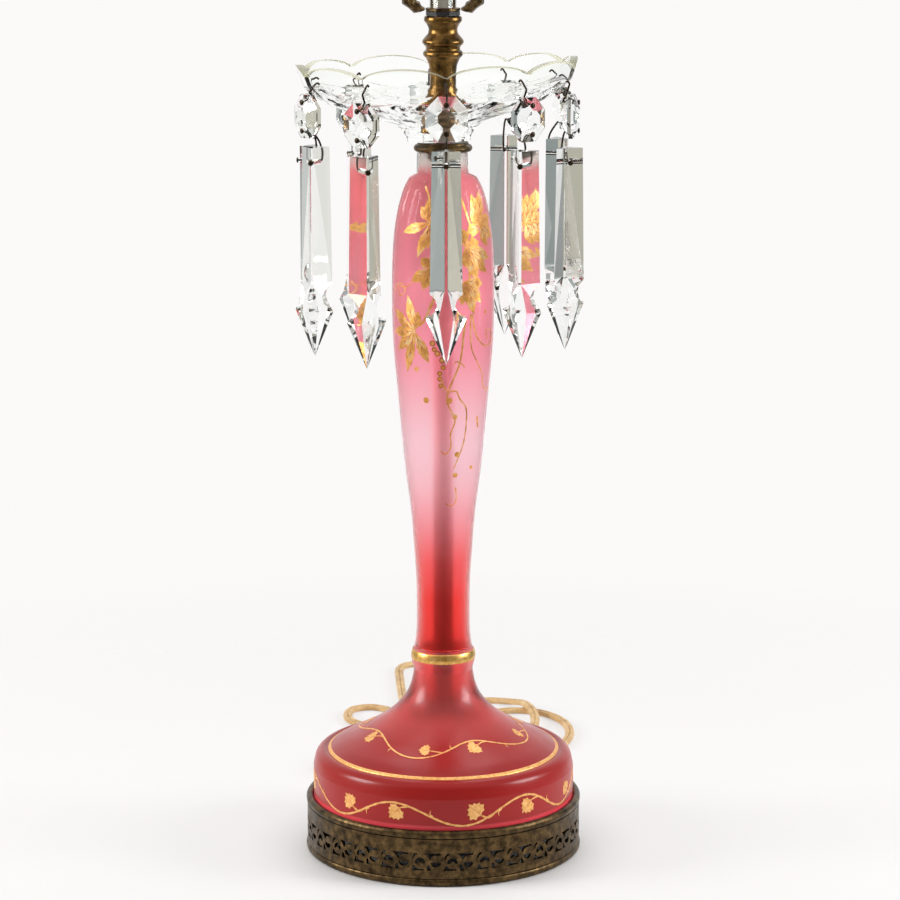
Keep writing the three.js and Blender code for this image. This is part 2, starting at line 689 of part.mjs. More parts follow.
function buildDishAndStrands() {
  const dish = dishGeometry();
  dish.applyMatrix4(dishPlace);
  add("bobeche", dish, crystal);
  HANGS.forEach(({ drop, buttonFaces, prismFaces, length, flatOut = false }, i) => {
    const angle = strandAngles()[i];
    const hole = new THREE.Vector3(holeR * Math.sin(angle), -holeR * Math.cos(angle), holeZ);
    const strand = new THREE.Group();
    strand.position.copy(hole.applyMatrix4(dishPlace));
    strand.rotation.z = angle - Math.PI / 2;
    lamp.add(strand);
    const buttonTurn = buttonFaces - angle / RAD;
    const prismTurn = prismFaces - angle / RAD;
    const number = String(i + 1).padStart(2, "0");
    add("upper_pin_" + number, upperPin(drop, buttonTurn), wire, strand);
    add("button_" + number, buttonGeometry(drop, buttonTurn, prismTurn), crystal, strand);
    const prism = add("prism_" + number, prismGeometry(length, flatOut), crystal, strand);
    prism.position.set(-PRISM_IN, 0, -drop - BUTTON_H - LINK_GAP);
    prism.rotation.z = prismTurn * RAD;
  });
}

// Brass stack above the vase

function buildStack() {
  const boss = VASE_NECK_R - VASE_GLASS - GAP;
  const check = [
    [boreR, checkZ - CHECK_BOSS_H],
    [boss, checkZ - CHECK_BOSS_H],
    [boss, checkZ],
    [CHECK_R - 0.8, checkZ],
    [CHECK_R, checkZ + 0.9],
    [CHECK_R, checkZ + CHECK_T - 0.9],
    [CHECK_R - 0.8, checkZ + CHECK_T],
    [CHECK_R - 1.8, checkZ + CHECK_T + 0.2],
    [CHECK_R - 1.9, checkZ + CHECK_T + CHECK_STEP_T],
    [boreR, checkZ + CHECK_T + CHECK_STEP_T],
  ];
  add("check_ring", turned(check, 20), brass);

  const turnings = [
    [SPINDLE_FOOT_R, 0.0],
    [SPINDLE_FOOT_R, 5.0],
    [10.2, 10.5],
    [7.4, 15.2],
    [6.5, 20.0],
    [6.3, 27.0],
    [6.9, 32.0],
    [8.3, 35.3],
    [9.8, 36.6],
    [9.6, 38.4],
    [8.3, 39.2],
    [8.4, 40.8],
    [10.1, 42.4],
    [10.1, 43.8],
    [8.6, 45.6],
    [7.2, 47.2],
    [6.9, 49.4],
    [7.9, 51.6],
    [9.3, 53.2],
    [9.2, 54.8],
    [8.7, SPINDLE_H],
  ].map(([r, z]) => [r, spindleZ + z]);
  add("spindle", turned([[boreR, spindleZ], ...turnings, [boreR, spindleZ + SPINDLE_H]], COARSE), gilt);
  add("spacer_washer", sleeve(boreR, SPACER_R, spacerZ, spacerZ + SPACER_T, COARSE), black);
  add("cluster_hub", sleeve(boreR, HUB_R, hubZ, hubZ + HUB_T, COARSE), brass);
  add("riser_tube", sleeve(RISER_R - RISER_WALL, RISER_R, riserZ, riserZ + RISER_L, COARSE), nickel);

  const urn = [
    [0, 0.52],
    [boreR, 0.5],
    [boreR, 0],
    [FINIAL_R, 0],
    [FINIAL_R, 0.12],
    [FINIAL_R * 0.55, 0.2],
    [FINIAL_R * 0.95, 0.48],
    [FINIAL_R * 0.9, 0.62],
    [FINIAL_R * 0.45, 0.76],
    [FINIAL_R * 0.5, 0.86],
    [0, 1],
  ].map(([r, up]) => [r, finialZ + FINIAL_H * up]);
  add("finial", turned(urn, COARSE), gilt);
}

// Cluster arms: a lobed casting that leaves the hub as a thin strap, swells to a leaf and slims to the husk.
function armGeometry() {
  const path = smooth([
    [HUB_R + GAP, 0, 0.6],
    [12.4, 0, 1.2],
    [16.0, 0, 4.4],
    [18.4, 0, 10.0],
    [22.0, 0, 18.0],
    [29.0, 0, 26.0],
    [41.0, 0, 31.0],
    [ARM_REACH - 2.5, 0, ARM_RISE - 4.5],
    [ARM_REACH, 0, ARM_RISE + 1],
  ]);
  const rings = 15;
  const sides = 8;
  const positions = [];
  const indices = [];
  for (let i = 0; i <= rings; i++) {
    const t = i / rings;
    const p = path.getPoint(t);
    const along = path.getTangent(t);
    const swell = Math.sin(Math.PI * Math.min(1, t * 1.9)) ** 0.7;
    const lobe = 1 + 0.22 * Math.cos(i * Math.PI);
    const thick = 0.6 + (2.4 * swell * lobe + 1.4 * t) * (t < 0.55 ? 1 : 0.9);
    const wide = ARM_WIDTH / 2 - 1.2 * t + 0.8 * swell;
    for (let k = 0; k < sides; k++) {
      const a = (2 * Math.PI * k) / sides;
      const across = thick * Math.cos(a);
      positions.push(p.x - along.z * across, wide * Math.sin(a), p.z + along.x * across);
    }
  }
  for (let i = 0; i < rings; i++) {
    for (let k = 0; k < sides; k++) {
      const [a, b] = [i * sides + k, i * sides + ((k + 1) % sides)];
      indices.push(a, a + sides, b, b, a + sides, b + sides);
    }
  }
  for (let k = 1; k < sides - 1; k++) {
    indices.push(0, k, k + 1);
    const last = rings * sides;
    indices.push(last, last + k + 1, last + k);
  }
  const geometry = new THREE.BufferGeometry();
  geometry.setAttribute("position", new THREE.Float32BufferAttribute(positions, 3));
  geometry.setIndex(indices);
  const husk = turned(
    [
      [0, ARM_RISE - 1],
      [3.2, ARM_RISE - 1],
      [HUSK_R * 0.75, ARM_RISE + 1.8],
      [HUSK_R, ARM_RISE + HUSK_H - 1.5],
      [HUSK_R, ARM_RISE + HUSK_H],
      [0, ARM_RISE + HUSK_H],
    ],
    COARSE,
  ).translate(ARM_REACH, 0, 0);
  return join(geometry, husk);
}

// Socket, in its own frame with its foot at the origin and its key towards -Y.
function buildSocket(side, place) {
  const mouth = SOCKET_CAP_H + SOCKET_SHELL_H;
  const cap = [
    [5, 0],
    [HUSK_R + 0.5, 0],
    [SOCKET_R - 1.2, 5],
    [SOCKET_R, 10],
    [SOCKET_R, SOCKET_CAP_H],
    [SOCKET_R - SOCKET_WALL, SOCKET_CAP_H],
    [SOCKET_R - SOCKET_WALL, 10.3],
    [SOCKET_R - 2.4, 6],
    [HUSK_R - 0.5, 1.2],
    [5, 1.2],
  ];
  add("socket_cap_" + side, turned(cap, COARSE), gilt, place);
  const shellZ = SOCKET_CAP_H + GAP;
  const keyZ = shellZ + KEY_HEIGHT;
  const shell = sleeve(SOCKET_R - SOCKET_WALL, SOCKET_R, shellZ, mouth, COARSE);
  const keyHole = cylinder(KEY_SHAFT_R + 2 * GAP, [0, -SOCKET_R - 3, keyZ], [0, -SOCKET_R + 4, keyZ], 8);
  add("socket_shell_" + side, cut(shell, keyHole), gilt, place);
  const insertR = SOCKET_R - SOCKET_WALL - GAP;
  const insertZ = shellZ - 3;
  const insert = [
    [0, insertZ],
    [insertR, insertZ],
    [insertR, mouth - 2],
    [SOCKET_BORE_R, mouth - 2],
    [SOCKET_BORE_R, insertZ + SOCKET_FLOOR],
    [0, insertZ + SOCKET_FLOOR],
  ];
  add("socket_insert_" + side, turned(insert, COARSE), fibre, place);
  const shaftEnd = -insertR - GAP - 0.3 - KEY_SHAFT_L;
  const shaft = cylinder(KEY_SHAFT_R, [0, -insertR - GAP - 0.3, keyZ], [0, shaftEnd, keyZ], 8);
  const paddle = new THREE.CylinderGeometry(KEY_PADDLE_R, KEY_PADDLE_R, 2.4, 12)
    .rotateZ(Math.PI / 2)
    .scale(1, 1, 0.75)
    .translate(0, shaftEnd - KEY_PADDLE_R * 0.4, keyZ);
  add("socket_key_" + side, join(shaft, paddle), fibre, place);
}

function buildCluster() {
  for (const [side, turn] of [["right", 0], ["left", Math.PI]]) {
    const arm = new THREE.Group();
    arm.position.z = hubZ;
    arm.rotation.z = turn;
    lamp.add(arm);
    add("arm_" + side, armGeometry(), brass, arm);
    const socket = new THREE.Group();
    socket.position.set(ARM_REACH * Math.cos(turn), 0, socketZ);
    lamp.add(socket);
    buildSocket(side, socket);
  }
}

// Lead, plug and the bushing where the lead leaves the base

const floorZ = CORD_R + CORD_LIFT;
const overZ = floorZ + 2 * CORD_R + 0.5;
const wallY = BASE_R;

// The loose loops behind the lamp, from the bushing to the coil.
const ROUTE = [
  [0, wallY - 2.6, cordZ],
  [0, wallY, cordZ],
  [0, wallY + 3, cordZ],
  [0.3, wallY + 9, cordZ - 0.1],
  [2, wallY + 16, cordZ - 2.4],
  [9, 97, 5.4],
  [20, 110, 3.2],
  [34, 124, floorZ],
  [50, 142, floorZ],
  [64, 164, floorZ],
  [71, 190, floorZ],
  [68, 216, floorZ],
  [56, 234, floorZ],
  [40, 239, floorZ],
  [25, 232, floorZ],
  [19, 219, floorZ],
  [18, 205, floorZ],
  [21.5, 192.5, floorZ],
  [32, 185.5, floorZ],
  [43.5, 188, 2.9],
  [50, 198, 4.3],
  [52, 212, 6.2],
  [51, 226, 8.0],
  [48.2, 238, overZ],
  [44.8, 247.5, 6.6],
  [38.5, 255.5, 3.8],
  [30, 260, floorZ],
  [19, 261, floorZ],
  [8, 263, floorZ],
  [-0.5, 270, floorZ],
  [-3.5, 282, floorZ],
  [-3.5, 306, floorZ],
  [-3.5, 330, floorZ],
  [-6.9, 338.5, floorZ],
  [-15.3, 342.2, floorZ],
  [-23.7, 338.5, floorZ],
  [-27, 330, floorZ],
  [-26.5, 305, floorZ],
  [-25, 276, floorZ],
  [-23, 248, floorZ],
  [-22, 230, floorZ],
  [-25.5, 216.5, floorZ],
  [-35, 208, floorZ],
  [-46, 209, floorZ],
  [-53.5, 218, floorZ],
  [-55.5, 232, floorZ],
  [-52.4, 241.5, floorZ],
  [-43, 246, floorZ],
  [-33.8, 241.5, floorZ],
  [-30.5, 232, 4.4],
  [-30, 220, 7.4],
  [-31, 209, overZ],
  [-33.5, 195, 6.0],
  [-40, 177, 3.3],
  [-50.5, 160, floorZ],
  [-57.5, 146, floorZ],
  [-59.8, 136, floorZ],
  [COIL_X, COIL_Y + 3 * GAP, floorZ],
];

// Turns of the coil: in along the floor, up a layer in half a turn, out again on top, and straight on at the end.
function coilPoints(outerR) {
  const climb = 0.5;
  const total = COIL_TURNS_IN + climb + COIL_TURNS_OUT;
  const innerR = outerR - COIL_PITCH_IN * COIL_TURNS_IN;
  const climbIn = 2;
  const steps = Math.round(total * 20);
  const topZ = floorZ + COIL_LAYER;
  const points = [];
  for (let i = 0; i <= steps; i++) {
    const turn = (total * i) / steps;
    const rise = Math.min(1, Math.max(0, (turn - COIL_TURNS_IN) / climb));
    const out = Math.max(0, turn - COIL_TURNS_IN - climb);
    const inward = outerR - COIL_PITCH_IN * turn;
    const r = turn < COIL_TURNS_IN ? inward : innerR - climbIn * rise + COIL_PITCH_OUT * out;
    const a = Math.PI + 2 * Math.PI * turn;
    const z = floorZ + COIL_LAYER * rise * rise * (3 - 2 * rise);
    points.push([COIL_X + outerR + r * Math.cos(a), COIL_Y + r * Math.sin(a), z]);
  }
  const [endX, endY] = points[points.length - 1];
  const plugZ = PLUG_BODY[1] / 2 + CORD_LIFT;
  for (const share of [0.4, 0.7, 1]) {
    points.push([endX + 1.5 * share, endY + COIL_TAIL * share, topZ + (plugZ - topZ) * share]);
  }
  return points;
}

function lengthOf(points) {
  let sum = 0;
  for (let i = 1; i < points.length; i++) {
    sum += Math.hypot(...points[i].map((v, k) => v - points[i - 1][k]));
  }
  return sum;
}

// The least gap between stretches of a cord that lie over 4 diameters apart along it.
function leastGap(points) {
  let least = Infinity;
  for (let i = 0; i < points.length; i++) {
    for (let j = i + 1; j < points.length; j++) {
      if (lengthOf(points.slice(i, j + 1)) < 8 * CORD_R) continue;
      least = Math.min(least, Math.hypot(...points[i].map((v, k) => v - points[j][k])));
    }
  }
  return least - 2 * CORD_R;
}

function buildCord() {
  const bushing = [
    [CORD_R + GAP, -GALLERY_WALL - GAP - BUSHING_FLANGE_T],
    [BUSHING_FLANGE_R - 0.3, -GALLERY_WALL - GAP - BUSHING_FLANGE_T],
    [BUSHING_FLANGE_R, -GALLERY_WALL - GAP - 0.9],
    [BUSHING_R, -GALLERY_WALL - GAP - 0.6],
    [BUSHING_R, GAP + 0.3],
    [BUSHING_FLANGE_R, GAP + 0.3],
    [BUSHING_FLANGE_R - 0.3, GAP + BUSHING_FLANGE_T],
    [CORD_R + GAP, GAP + BUSHING_FLANGE_T],
  ];
  add("cord_bushing", turned(bushing, COARSE).rotateX(-Math.PI / 2).translate(0, wallY, cordZ), black);

  const lead = smooth([
    [0, 0, rodZ + 3],
    [0, 0.5, rodZ - 1.5],
    [0, 6, rodZ - 6],
    [0, wallY * 0.26, rodZ - 7.5],
    [0, wallY * 0.52, rodZ - 5],
    [0, wallY * 0.755, cordZ - 0.4],
    [0, wallY - 2.6 - GAP - 4, cordZ],
    [0, wallY - 2.6 - GAP, cordZ],
  ]);
  add("inner_lead", tube(lead, CORD_R, 12, 8), vinyl);

  const loops = smooth(ROUTE);
  const runPoints = loops.getSpacedPoints(400).map((p) => [p.x, p.y, p.z]);
  add("cord_run", tube(loops, CORD_R, 76, 6), vinyl);

  // The coil is as wide as uses up the rest of the lead.
  const runLength = lengthOf(runPoints);
  let outerR = COIL_PITCH_IN * COIL_TURNS_IN + 12;
  while (runLength + lengthOf(coilPoints(outerR)) < CORD_LENGTH) outerR += 0.05;
  const coil = coilPoints(outerR);
  const total = (runLength + lengthOf(coil)).toFixed(0);
  const [gapInRun, gapInCoil] = [runPoints, coil].map((points) => leastGap(points).toFixed(2));
  console.log("lead", total, "mm, least gap in the run", gapInRun, "mm and in the coil", gapInCoil, "mm");
  add("cord_coil", tube(smooth(coil), CORD_R, coil.length - 1, 6), vinyl);
  buildPlug(coil);
}

// The plug at the end of the coil: a body with two blades, lying on the floor.
function buildPlug(coil) {
  const end = new THREE.Vector3(...coil[coil.length - 1]);
  const heading = end.clone().sub(new THREE.Vector3(...coil[coil.length - 2]));
  const [wide, thick, long] = PLUG_BODY;
  const body = hull(
    [-1, 1].flatMap((sx) =>
      [-1, 1].flatMap((sz) => [
        [(sx * wide) / 2.6, 0, (sz * thick) / 2.8],
        [(sx * wide) / 2, long * 0.35, (sz * thick) / 2],
        [(sx * wide) / 2, long, (sz * thick) / 2],
      ]),
    ),
  );
  const [bladeW, bladeT, bladeL] = PLUG_BLADE;
  const blades = [-1, 1].map((s) =>
    new THREE.BoxGeometry(bladeT, bladeL + 2, bladeW).translate((s * PLUG_BLADE_SPREAD) / 2, long + bladeL / 2 - 1, 0),
  );
  const plug = add("plug", join(body, ...blades), vinyl);
  plug.rotation.z = Math.atan2(-heading.x, heading.y);
  plug.position.copy(end).addScaledVector(heading.setZ(0).normalize(), 3 * GAP);
}

buildBase();
buildRod();
buildGlass();
buildStack();
buildDishAndStrands();
buildCluster();
buildCord();

export default lamp;
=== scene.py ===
import math
import bpy
from mathutils import Matrix, Vector
from mathutils.geometry import delaunay_2d_cdt


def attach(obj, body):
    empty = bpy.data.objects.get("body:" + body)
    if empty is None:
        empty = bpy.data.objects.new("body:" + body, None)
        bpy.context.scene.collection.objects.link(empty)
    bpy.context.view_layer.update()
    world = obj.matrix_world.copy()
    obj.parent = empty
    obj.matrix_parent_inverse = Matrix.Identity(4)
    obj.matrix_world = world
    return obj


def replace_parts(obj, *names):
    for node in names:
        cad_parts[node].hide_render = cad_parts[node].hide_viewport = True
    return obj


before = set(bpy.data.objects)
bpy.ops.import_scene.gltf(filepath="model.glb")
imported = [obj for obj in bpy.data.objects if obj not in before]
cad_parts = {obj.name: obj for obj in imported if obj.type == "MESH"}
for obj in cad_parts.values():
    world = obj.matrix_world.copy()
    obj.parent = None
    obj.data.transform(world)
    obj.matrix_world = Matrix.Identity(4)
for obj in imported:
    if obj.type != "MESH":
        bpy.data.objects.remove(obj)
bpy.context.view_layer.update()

MM = 0.001

# Sizes in millimetres, and the lead's length in metres

GAP = 0.3
BASE_R = 68.9
GALLERY_Z = 4.0
GALLERY_H = 20
GALLERY_WALL = 1.5
GALLERY_CELLS = 27
CELL_W = 16
CELL_H = 12
PIERCED_FROM = 4.0
CORD_HOLE_R = 4.5
STRIP_INNER = BASE_R - GALLERY_WALL - 0.6
FOOT_Z = 26.3
FOOT_R = 65.6
FOOT_INNER_R = 61.6
FOOT_STEM_R = 14.7
DOME_Z = 51.3
DOME_H = 41.5
DOME_WIDE = 42.7
VASE_Z = 104.1
VASE_H = 248.8
VASE_STEM_R = 13.3
VASE_WIDE = 11.9
ROD_HOLE = 5.1
SPINDLE_Z = 363.2
SPINDLE_H = 55.6
DISH_Z = 357.9
DISH_H = 38.8
DISH_GLASS = 3.5
DISH_BORE_R = 7.4
DISH_LIFT = 0.565
DISH_SHIFT = (-2.0, -0.8)
DISH_TILT = 1.6
CUSP_DROP = 6.0
CUT_FROM = 20
CUT_TO = 66
CUT_DEPTH = 1.2
CUT_SLOPE = 0.8
FIRST_STRAND = 4.0
STRAND_STEP = 36
HOLE_R = 64.4
HOLE_Z = 386.1
LEAD_W = 5.2
LEAD_T = 3.1
LEAD_LENGTH = 1.8


# Camera

camera_data = bpy.data.cameras.new("camera")
camera_data.sensor_width = 36
camera_data.lens = 133.16
camera_data.clip_start = 0.05
camera_data.clip_end = 50
camera = bpy.data.objects.new("camera", camera_data)
camera.location = (0.0034, -1.622, 0.533)
camera.rotation_euler = (math.radians(90 - 11.46), 0, 0)
bpy.context.collection.objects.link(camera)
bpy.context.scene.camera = camera
bpy.context.scene.view_settings.view_transform = "Standard"


# Curves and meshes

def smooth_line(points, per_piece=8):
    """A centripetal Catmull-Rom curve through the points, as a list of vectors."""
    p = [Vector(q) for q in points]
    p = [p[0] * 2 - p[1], *p, p[-1] * 2 - p[-2]]
    out = []
    for i in range(1, len(p) - 2):
        p0, p1, p2, p3 = p[i - 1 : i + 3]
        d0, d1, d2 = (math.sqrt((b - a).length) or 1e-6 for a, b in ((p0, p1), (p1, p2), (p2, p3)))
        m1 = ((p1 - p0) / d0 - (p2 - p0) / (d0 + d1) + (p2 - p1) / d1) * d1
        m2 = ((p2 - p1) / d1 - (p3 - p1) / (d1 + d2) + (p3 - p2) / d2) * d1
        for k in range(per_piece):
            t = k / per_piece
            a = 2 * t**3 - 3 * t**2 + 1
            b = t**3 - 2 * t**2 + t
            c = 3 * t**2 - 2 * t**3
            d = t**3 - t**2
            out.append(p1 * a + m1 * b + p2 * c + m2 * d)
    out.append(p[-2])
    return out


def spaced(points, step):
    """Points the same distance apart along a line of points."""
    total = sum((b - a).length for a, b in zip(points, points[1:]))
    count = max(2, round(total / step))
    step = total / count
    out = [points[0]]
    need = step
    for a, b in zip(points, points[1:]):
        size = (b - a).length
        while size > 0 and need <= size + 1e-9 and len(out) < count:
            out.append(a.lerp(b, need / size))
            need += step
        need -= size
    return out + [points[-1]]


def outline_spline(corners, pieces):
    """A uniform Catmull-Rom curve through [radius, height] corners."""
    p = [Vector((q[0], q[1])) for q in corners]
    p = [p[0], *p, p[-1]]
    out = []
    for n in range(pieces + 1):
        at = n / pieces * (len(corners) - 1)
        i = min(int(at), len(corners) - 2)
        t = at - i
        a, b, c, d = p[i : i + 4]
        v0, v1 = (c - a) * 0.5, (d - b) * 0.5
        q = (2 * b - 2 * c + v0 + v1) * t**3 + (-3 * b + 3 * c - 2 * v0 - v1) * t**2 + v0 * t + b
        out.append((q.x, q.y))
    return out


def piece(name, verts, faces, finish, body="lamp", sharp=None):
    """A mesh object from points in millimetres, riding on a body. It is flat where sharp is 0, and otherwise smooth,
    with the edges of more than sharp degrees left sharp."""
    mesh = bpy.data.meshes.new(name)
    mesh.from_pydata([tuple(c * MM for c in v) for v in verts], [], faces)
    for one in finish if isinstance(finish, list) else [finish]:
        mesh.materials.append(one)
    mesh.update()
    obj = bpy.data.objects.new(name, mesh)
    bpy.context.collection.objects.link(obj)
    if sharp != 0:
        mesh.shade_smooth()
    if sharp:
        mesh.set_sharp_from_angle(angle=math.radians(sharp))
    if body:
        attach(obj, body)
    return obj


def around(radius, angle, z):
    a = math.radians(angle)
    return (radius * math.sin(a), -radius * math.cos(a), z)


def turned_mesh(outline, sides, closed=True):
    """Points and faces of a turned form. The outline runs with the solid on its left side as seen from -Y at +X."""
    verts, rings = [], []
    for r, z in outline:
        if r < 0.01:
            rings.append([len(verts)])
            verts.append((0, 0, z))
        else:
            rings.append(list(range(len(verts), len(verts) + sides)))
            verts += [around(r, 360 * k / sides, z) for k in range(sides)]
    faces = []
    pairs = list(zip(rings, rings[1:]))
    if closed and len(rings[0]) > 1 and len(rings[-1]) > 1:
        pairs.append((rings[-1], rings[0]))
    for low, high in pairs:
        for k in range(sides):
            n = (k + 1) % sides
            if len(low) == 1 and len(high) == 1:
                continue
            if len(low) == 1:
                faces.append((low[0], high[n], high[k]))
            elif len(high) == 1:
                faces.append((low[k], low[n], high[0]))
            else:
                faces.append((low[k], low[n], high[n], high[k]))
    return verts, faces


def turned(name, outline, sides, finish, sharp):
    return piece(name, *turned_mesh(outline, sides), finish, sharp=sharp)


def rounded(corners, r=0.5, steps=3):
    """A closed outline with each corner rounded a little."""
    out = []
    count = len(corners)
    for i, corner in enumerate(corners):
        before, here, after = Vector(corners[i - 1]), Vector(corner), Vector(corners[(i + 1) % count])
        one = min(r, (before - here).length * 0.4)
        two = min(r, (after - here).length * 0.4)
        a = here + (before - here).normalized() * one
        b = here + (after - here).normalized() * two
        for k in range(steps + 1):
            t = k / steps
            q = a.lerp(here, t).lerp(here.lerp(b, t), t)
            out.append((q.x, q.y))
    return out


def ahead_at(line, i):
    """The direction of a line of vectors at its point i."""
    return (line[min(i + 1, len(line) - 1)] - line[max(i - 1, 0)]).normalized()


def ring(middle, side, up, radius, sides):
    """Points round a middle, in the plane of two directions."""
    angles = [2 * math.pi * k / sides for k in range(sides)]
    return [middle + side * (radius * math.cos(a)) + up * (radius * math.sin(a)) for a in angles]


def tube_points(line, radius, sides):
    """Rings of points round a line of vectors."""
    verts = []
    side = ahead_at(line, 0).orthogonal().normalized()
    for i, p in enumerate(line):
        ahead = ahead_at(line, i)
        side = (side - ahead * side.dot(ahead)).normalized()
        verts += ring(p, side, ahead.cross(side), radius, sides)
    return verts


def skin(rings, sides, start=0, turned_over=False):
    """Faces of a closed tube made of rings of points, the first of which is at start, with a cap at each end."""
    faces = []
    for i in range(rings - 1):
        for k in range(sides):
            a, b = start + i * sides + k, start + i * sides + (k + 1) % sides
            faces.append((a, a + sides, b + sides, b) if turned_over else (a, b, b + sides, a + sides))
    low = [start + k for k in range(sides)]
    high = [start + (rings - 1) * sides + k for k in range(sides)]
    caps = (low, high[::-1]) if turned_over else (low[::-1], high)
    return faces + [tuple(cap) for cap in caps]


def slab(points, triangles, start, open_at=()):
    """Faces of a thin slab: flat triangles, the same on its under side, and walls round them. The points of its top
    begin at start and those of its under side follow. No wall stands on a line whose x is in open_at."""
    count = len(points)
    faces, rim = [], {}
    for t in triangles:
        t = list(t)
        (ax, ay), (bx, by), (cx, cy) = (points[i] for i in t)
        if (bx - ax) * (cy - ay) - (by - ay) * (cx - ax) < 0:
            t.reverse()
        faces.append(tuple(start + i for i in t))
        faces.append(tuple(start + count + i for i in reversed(t)))
        for a, b in zip(t, t[1:] + t[:1]):
            if (b, a) in rim:
                del rim[(b, a)]
            else:
                rim[(a, b)] = True
    for a, b in rim:
        if points[a][0] != points[b][0] or points[a][0] not in open_at:
            faces.append((start + b, start + a, start + count + a, start + count + b))
    return faces


# Materials

def shader_of(made):
    return made.node_tree.nodes["Principled BSDF"]


def principled(name, colour, rough=0.4, metal=0.0, **sockets):
    made = bpy.data.materials.new(name)
    made.use_nodes = True
    inputs = shader_of(made).inputs
    inputs["Base Color"].default_value = (*colour, 1)
    inputs["Roughness"].default_value = rough
    inputs["Metallic"].default_value = metal
    for key, value in sockets.items():
        inputs[key.replace("_", " ")].default_value = value
    return made


def node(made, kind, **settings):
    made_node = made.node_tree.nodes.new(kind)
    for key, value in settings.items():
        setattr(made_node, key, value)
    return made_node


def link(made, a, b):
    made.node_tree.links.new(a, b)


def feed(made, source, socket):
    """Links an output to a socket, or sets the socket to a colour."""
    if isinstance(source, tuple):
        socket.default_value = (*source, 1)
    else:
        link(made, source, socket)


def place_of(made):
    return node(made, "ShaderNodeTexCoord").outputs["Object"]


def noise(made, scale, detail=3.0, rough=0.5):
    """A noise pattern with scale features a metre."""
    texture = node(made, "ShaderNodeTexNoise")
    for key, value in (("Scale", scale), ("Detail", detail), ("Roughness", rough)):
        texture.inputs[key].default_value = value
    link(made, place_of(made), texture.inputs["Vector"])
    return texture.outputs["Fac"]


def span(made, source, low, high, to_low, to_high):
    made_node = node(made, "ShaderNodeMapRange")
    for key, value in (("From Min", low), ("From Max", high), ("To Min", to_low), ("To Max", to_high)):
        made_node.inputs[key].default_value = value
    link(made, source, made_node.inputs["Value"])
    return made_node.outputs["Result"]


def maths(made, operation, a, b):
    made_node = node(made, "ShaderNodeMath", operation=operation)
    link(made, a, made_node.inputs[0])
    link(made, b, made_node.inputs[1])
    return made_node.outputs[0]


def mixed_shader(made, factor, below, above):
    made_node = node(made, "ShaderNodeMixShader")
    for source, socket in zip((factor, below, above), made_node.inputs):
        link(made, source, socket)
    return made_node.outputs[0]


def ray_is(made, *kinds):
    """1 for a ray of any of these kinds."""
    path = node(made, "ShaderNodeLightPath")
    found = path.outputs[kinds[0]]
    for kind in kinds[1:]:
        found = maths(made, "MAXIMUM", found, path.outputs[kind])
    return found


def bump(made, source, depth, strength=1.0):
    made_node = node(made, "ShaderNodeBump")
    made_node.inputs["Distance"].default_value = depth
    made_node.inputs["Strength"].default_value = strength
    link(made, source, made_node.inputs["Height"])
    link(made, made_node.outputs["Normal"], shader_of(made).inputs["Normal"])


def rough_from(made, source, low, high):
    link(made, span(made, source, 0.3, 0.7, low, high), shader_of(made).inputs["Roughness"])


def paint(made, source, stops):
    """A base colour that runs through its stops as the source goes from 0 to 1."""
    made_node = node(made, "ShaderNodeValToRGB")
    bar = made_node.color_ramp
    while len(bar.elements) < len(stops):
        bar.elements.new(0.5)
    for element, (position, colour) in zip(bar.elements, stops):
        element.position = position
        element.color = (*colour, 1)
    link(made, source, made_node.inputs["Fac"])
    link(made, made_node.outputs["Color"], shader_of(made).inputs["Base Color"])


GRAIN = 0.00012
FINE_GRAIN = 0.00005
PAINTED_GOLD = 0.75


def worn(made, rough, scale=260.0, depth=GRAIN):
    """Gloss in patches, and a fine grain."""
    rough_from(made, noise(made, scale * 0.4, 4.0), *rough)
    bump(made, noise(made, scale * 5, 3.0), depth, 0.5)


def aged_metal(name, tones, rough=(0.3, 0.5), scale=260.0, depth=GRAIN, metal=1.0):
    """Metal in three tones, from dark to bright, in patches of which scale go to a metre."""
    made = principled(name, tones[1], 0.4, metal)
    paint(made, noise(made, scale, 6.0, 0.62), list(zip((0.3, 0.5, 0.72), tones)))
    worn(made, rough, scale, depth)
    return made


brass = aged_metal("aged_brass", [(0.018, 0.013, 0.007), (0.085, 0.054, 0.025), (0.20, 0.125, 0.052)])
bronze = aged_metal(
    "spindle_bronze", [(0.04, 0.022, 0.008), (0.15, 0.082, 0.024), (0.40, 0.21, 0.065)], (0.24, 0.36), 180.0
)
cast_brass = aged_metal("cast_brass", [(0.035, 0.023, 0.012), (0.11, 0.068, 0.03), (0.24, 0.155, 0.065)], (0.26, 0.4))
nickel = aged_metal("nickel", [(0.45, 0.44, 0.42), (0.62, 0.61, 0.59), (0.74, 0.73, 0.71)], (0.12, 0.24))
# Near black: painted shade for the inside of the base that shows through the gallery's holes.
steel = aged_metal("dark_steel", [(0.012, 0.013, 0.017), (0.035, 0.037, 0.045), (0.08, 0.083, 0.095)], (0.4, 0.6))
pin_metal = aged_metal(
    "pin_brass", [(0.012, 0.008, 0.006), (0.034, 0.024, 0.015), (0.10, 0.07, 0.04)], (0.3, 0.45), 900.0
)
gilt = aged_metal(
    "gilding", [(0.66, 0.31, 0.08), (0.95, 0.50, 0.17), (1.0, 0.66, 0.30)], (0.36, 0.5), 700.0, FINE_GRAIN,
    PAINTED_GOLD,
)
gilt_vein = aged_metal(
    "gilding_veins", [(0.42, 0.12, 0.05), (0.62, 0.20, 0.10), (0.80, 0.32, 0.18)], (0.4, 0.55), 900.0,
    metal=PAINTED_GOLD,
)
leaf_gilt = aged_metal(
    "leaf_gilding", [(0.52, 0.25, 0.05), (1.0, 0.50, 0.13), (1.0, 0.80, 0.46)], (0.3, 0.45), 220.0, FINE_GRAIN,
    PAINTED_GOLD,
)
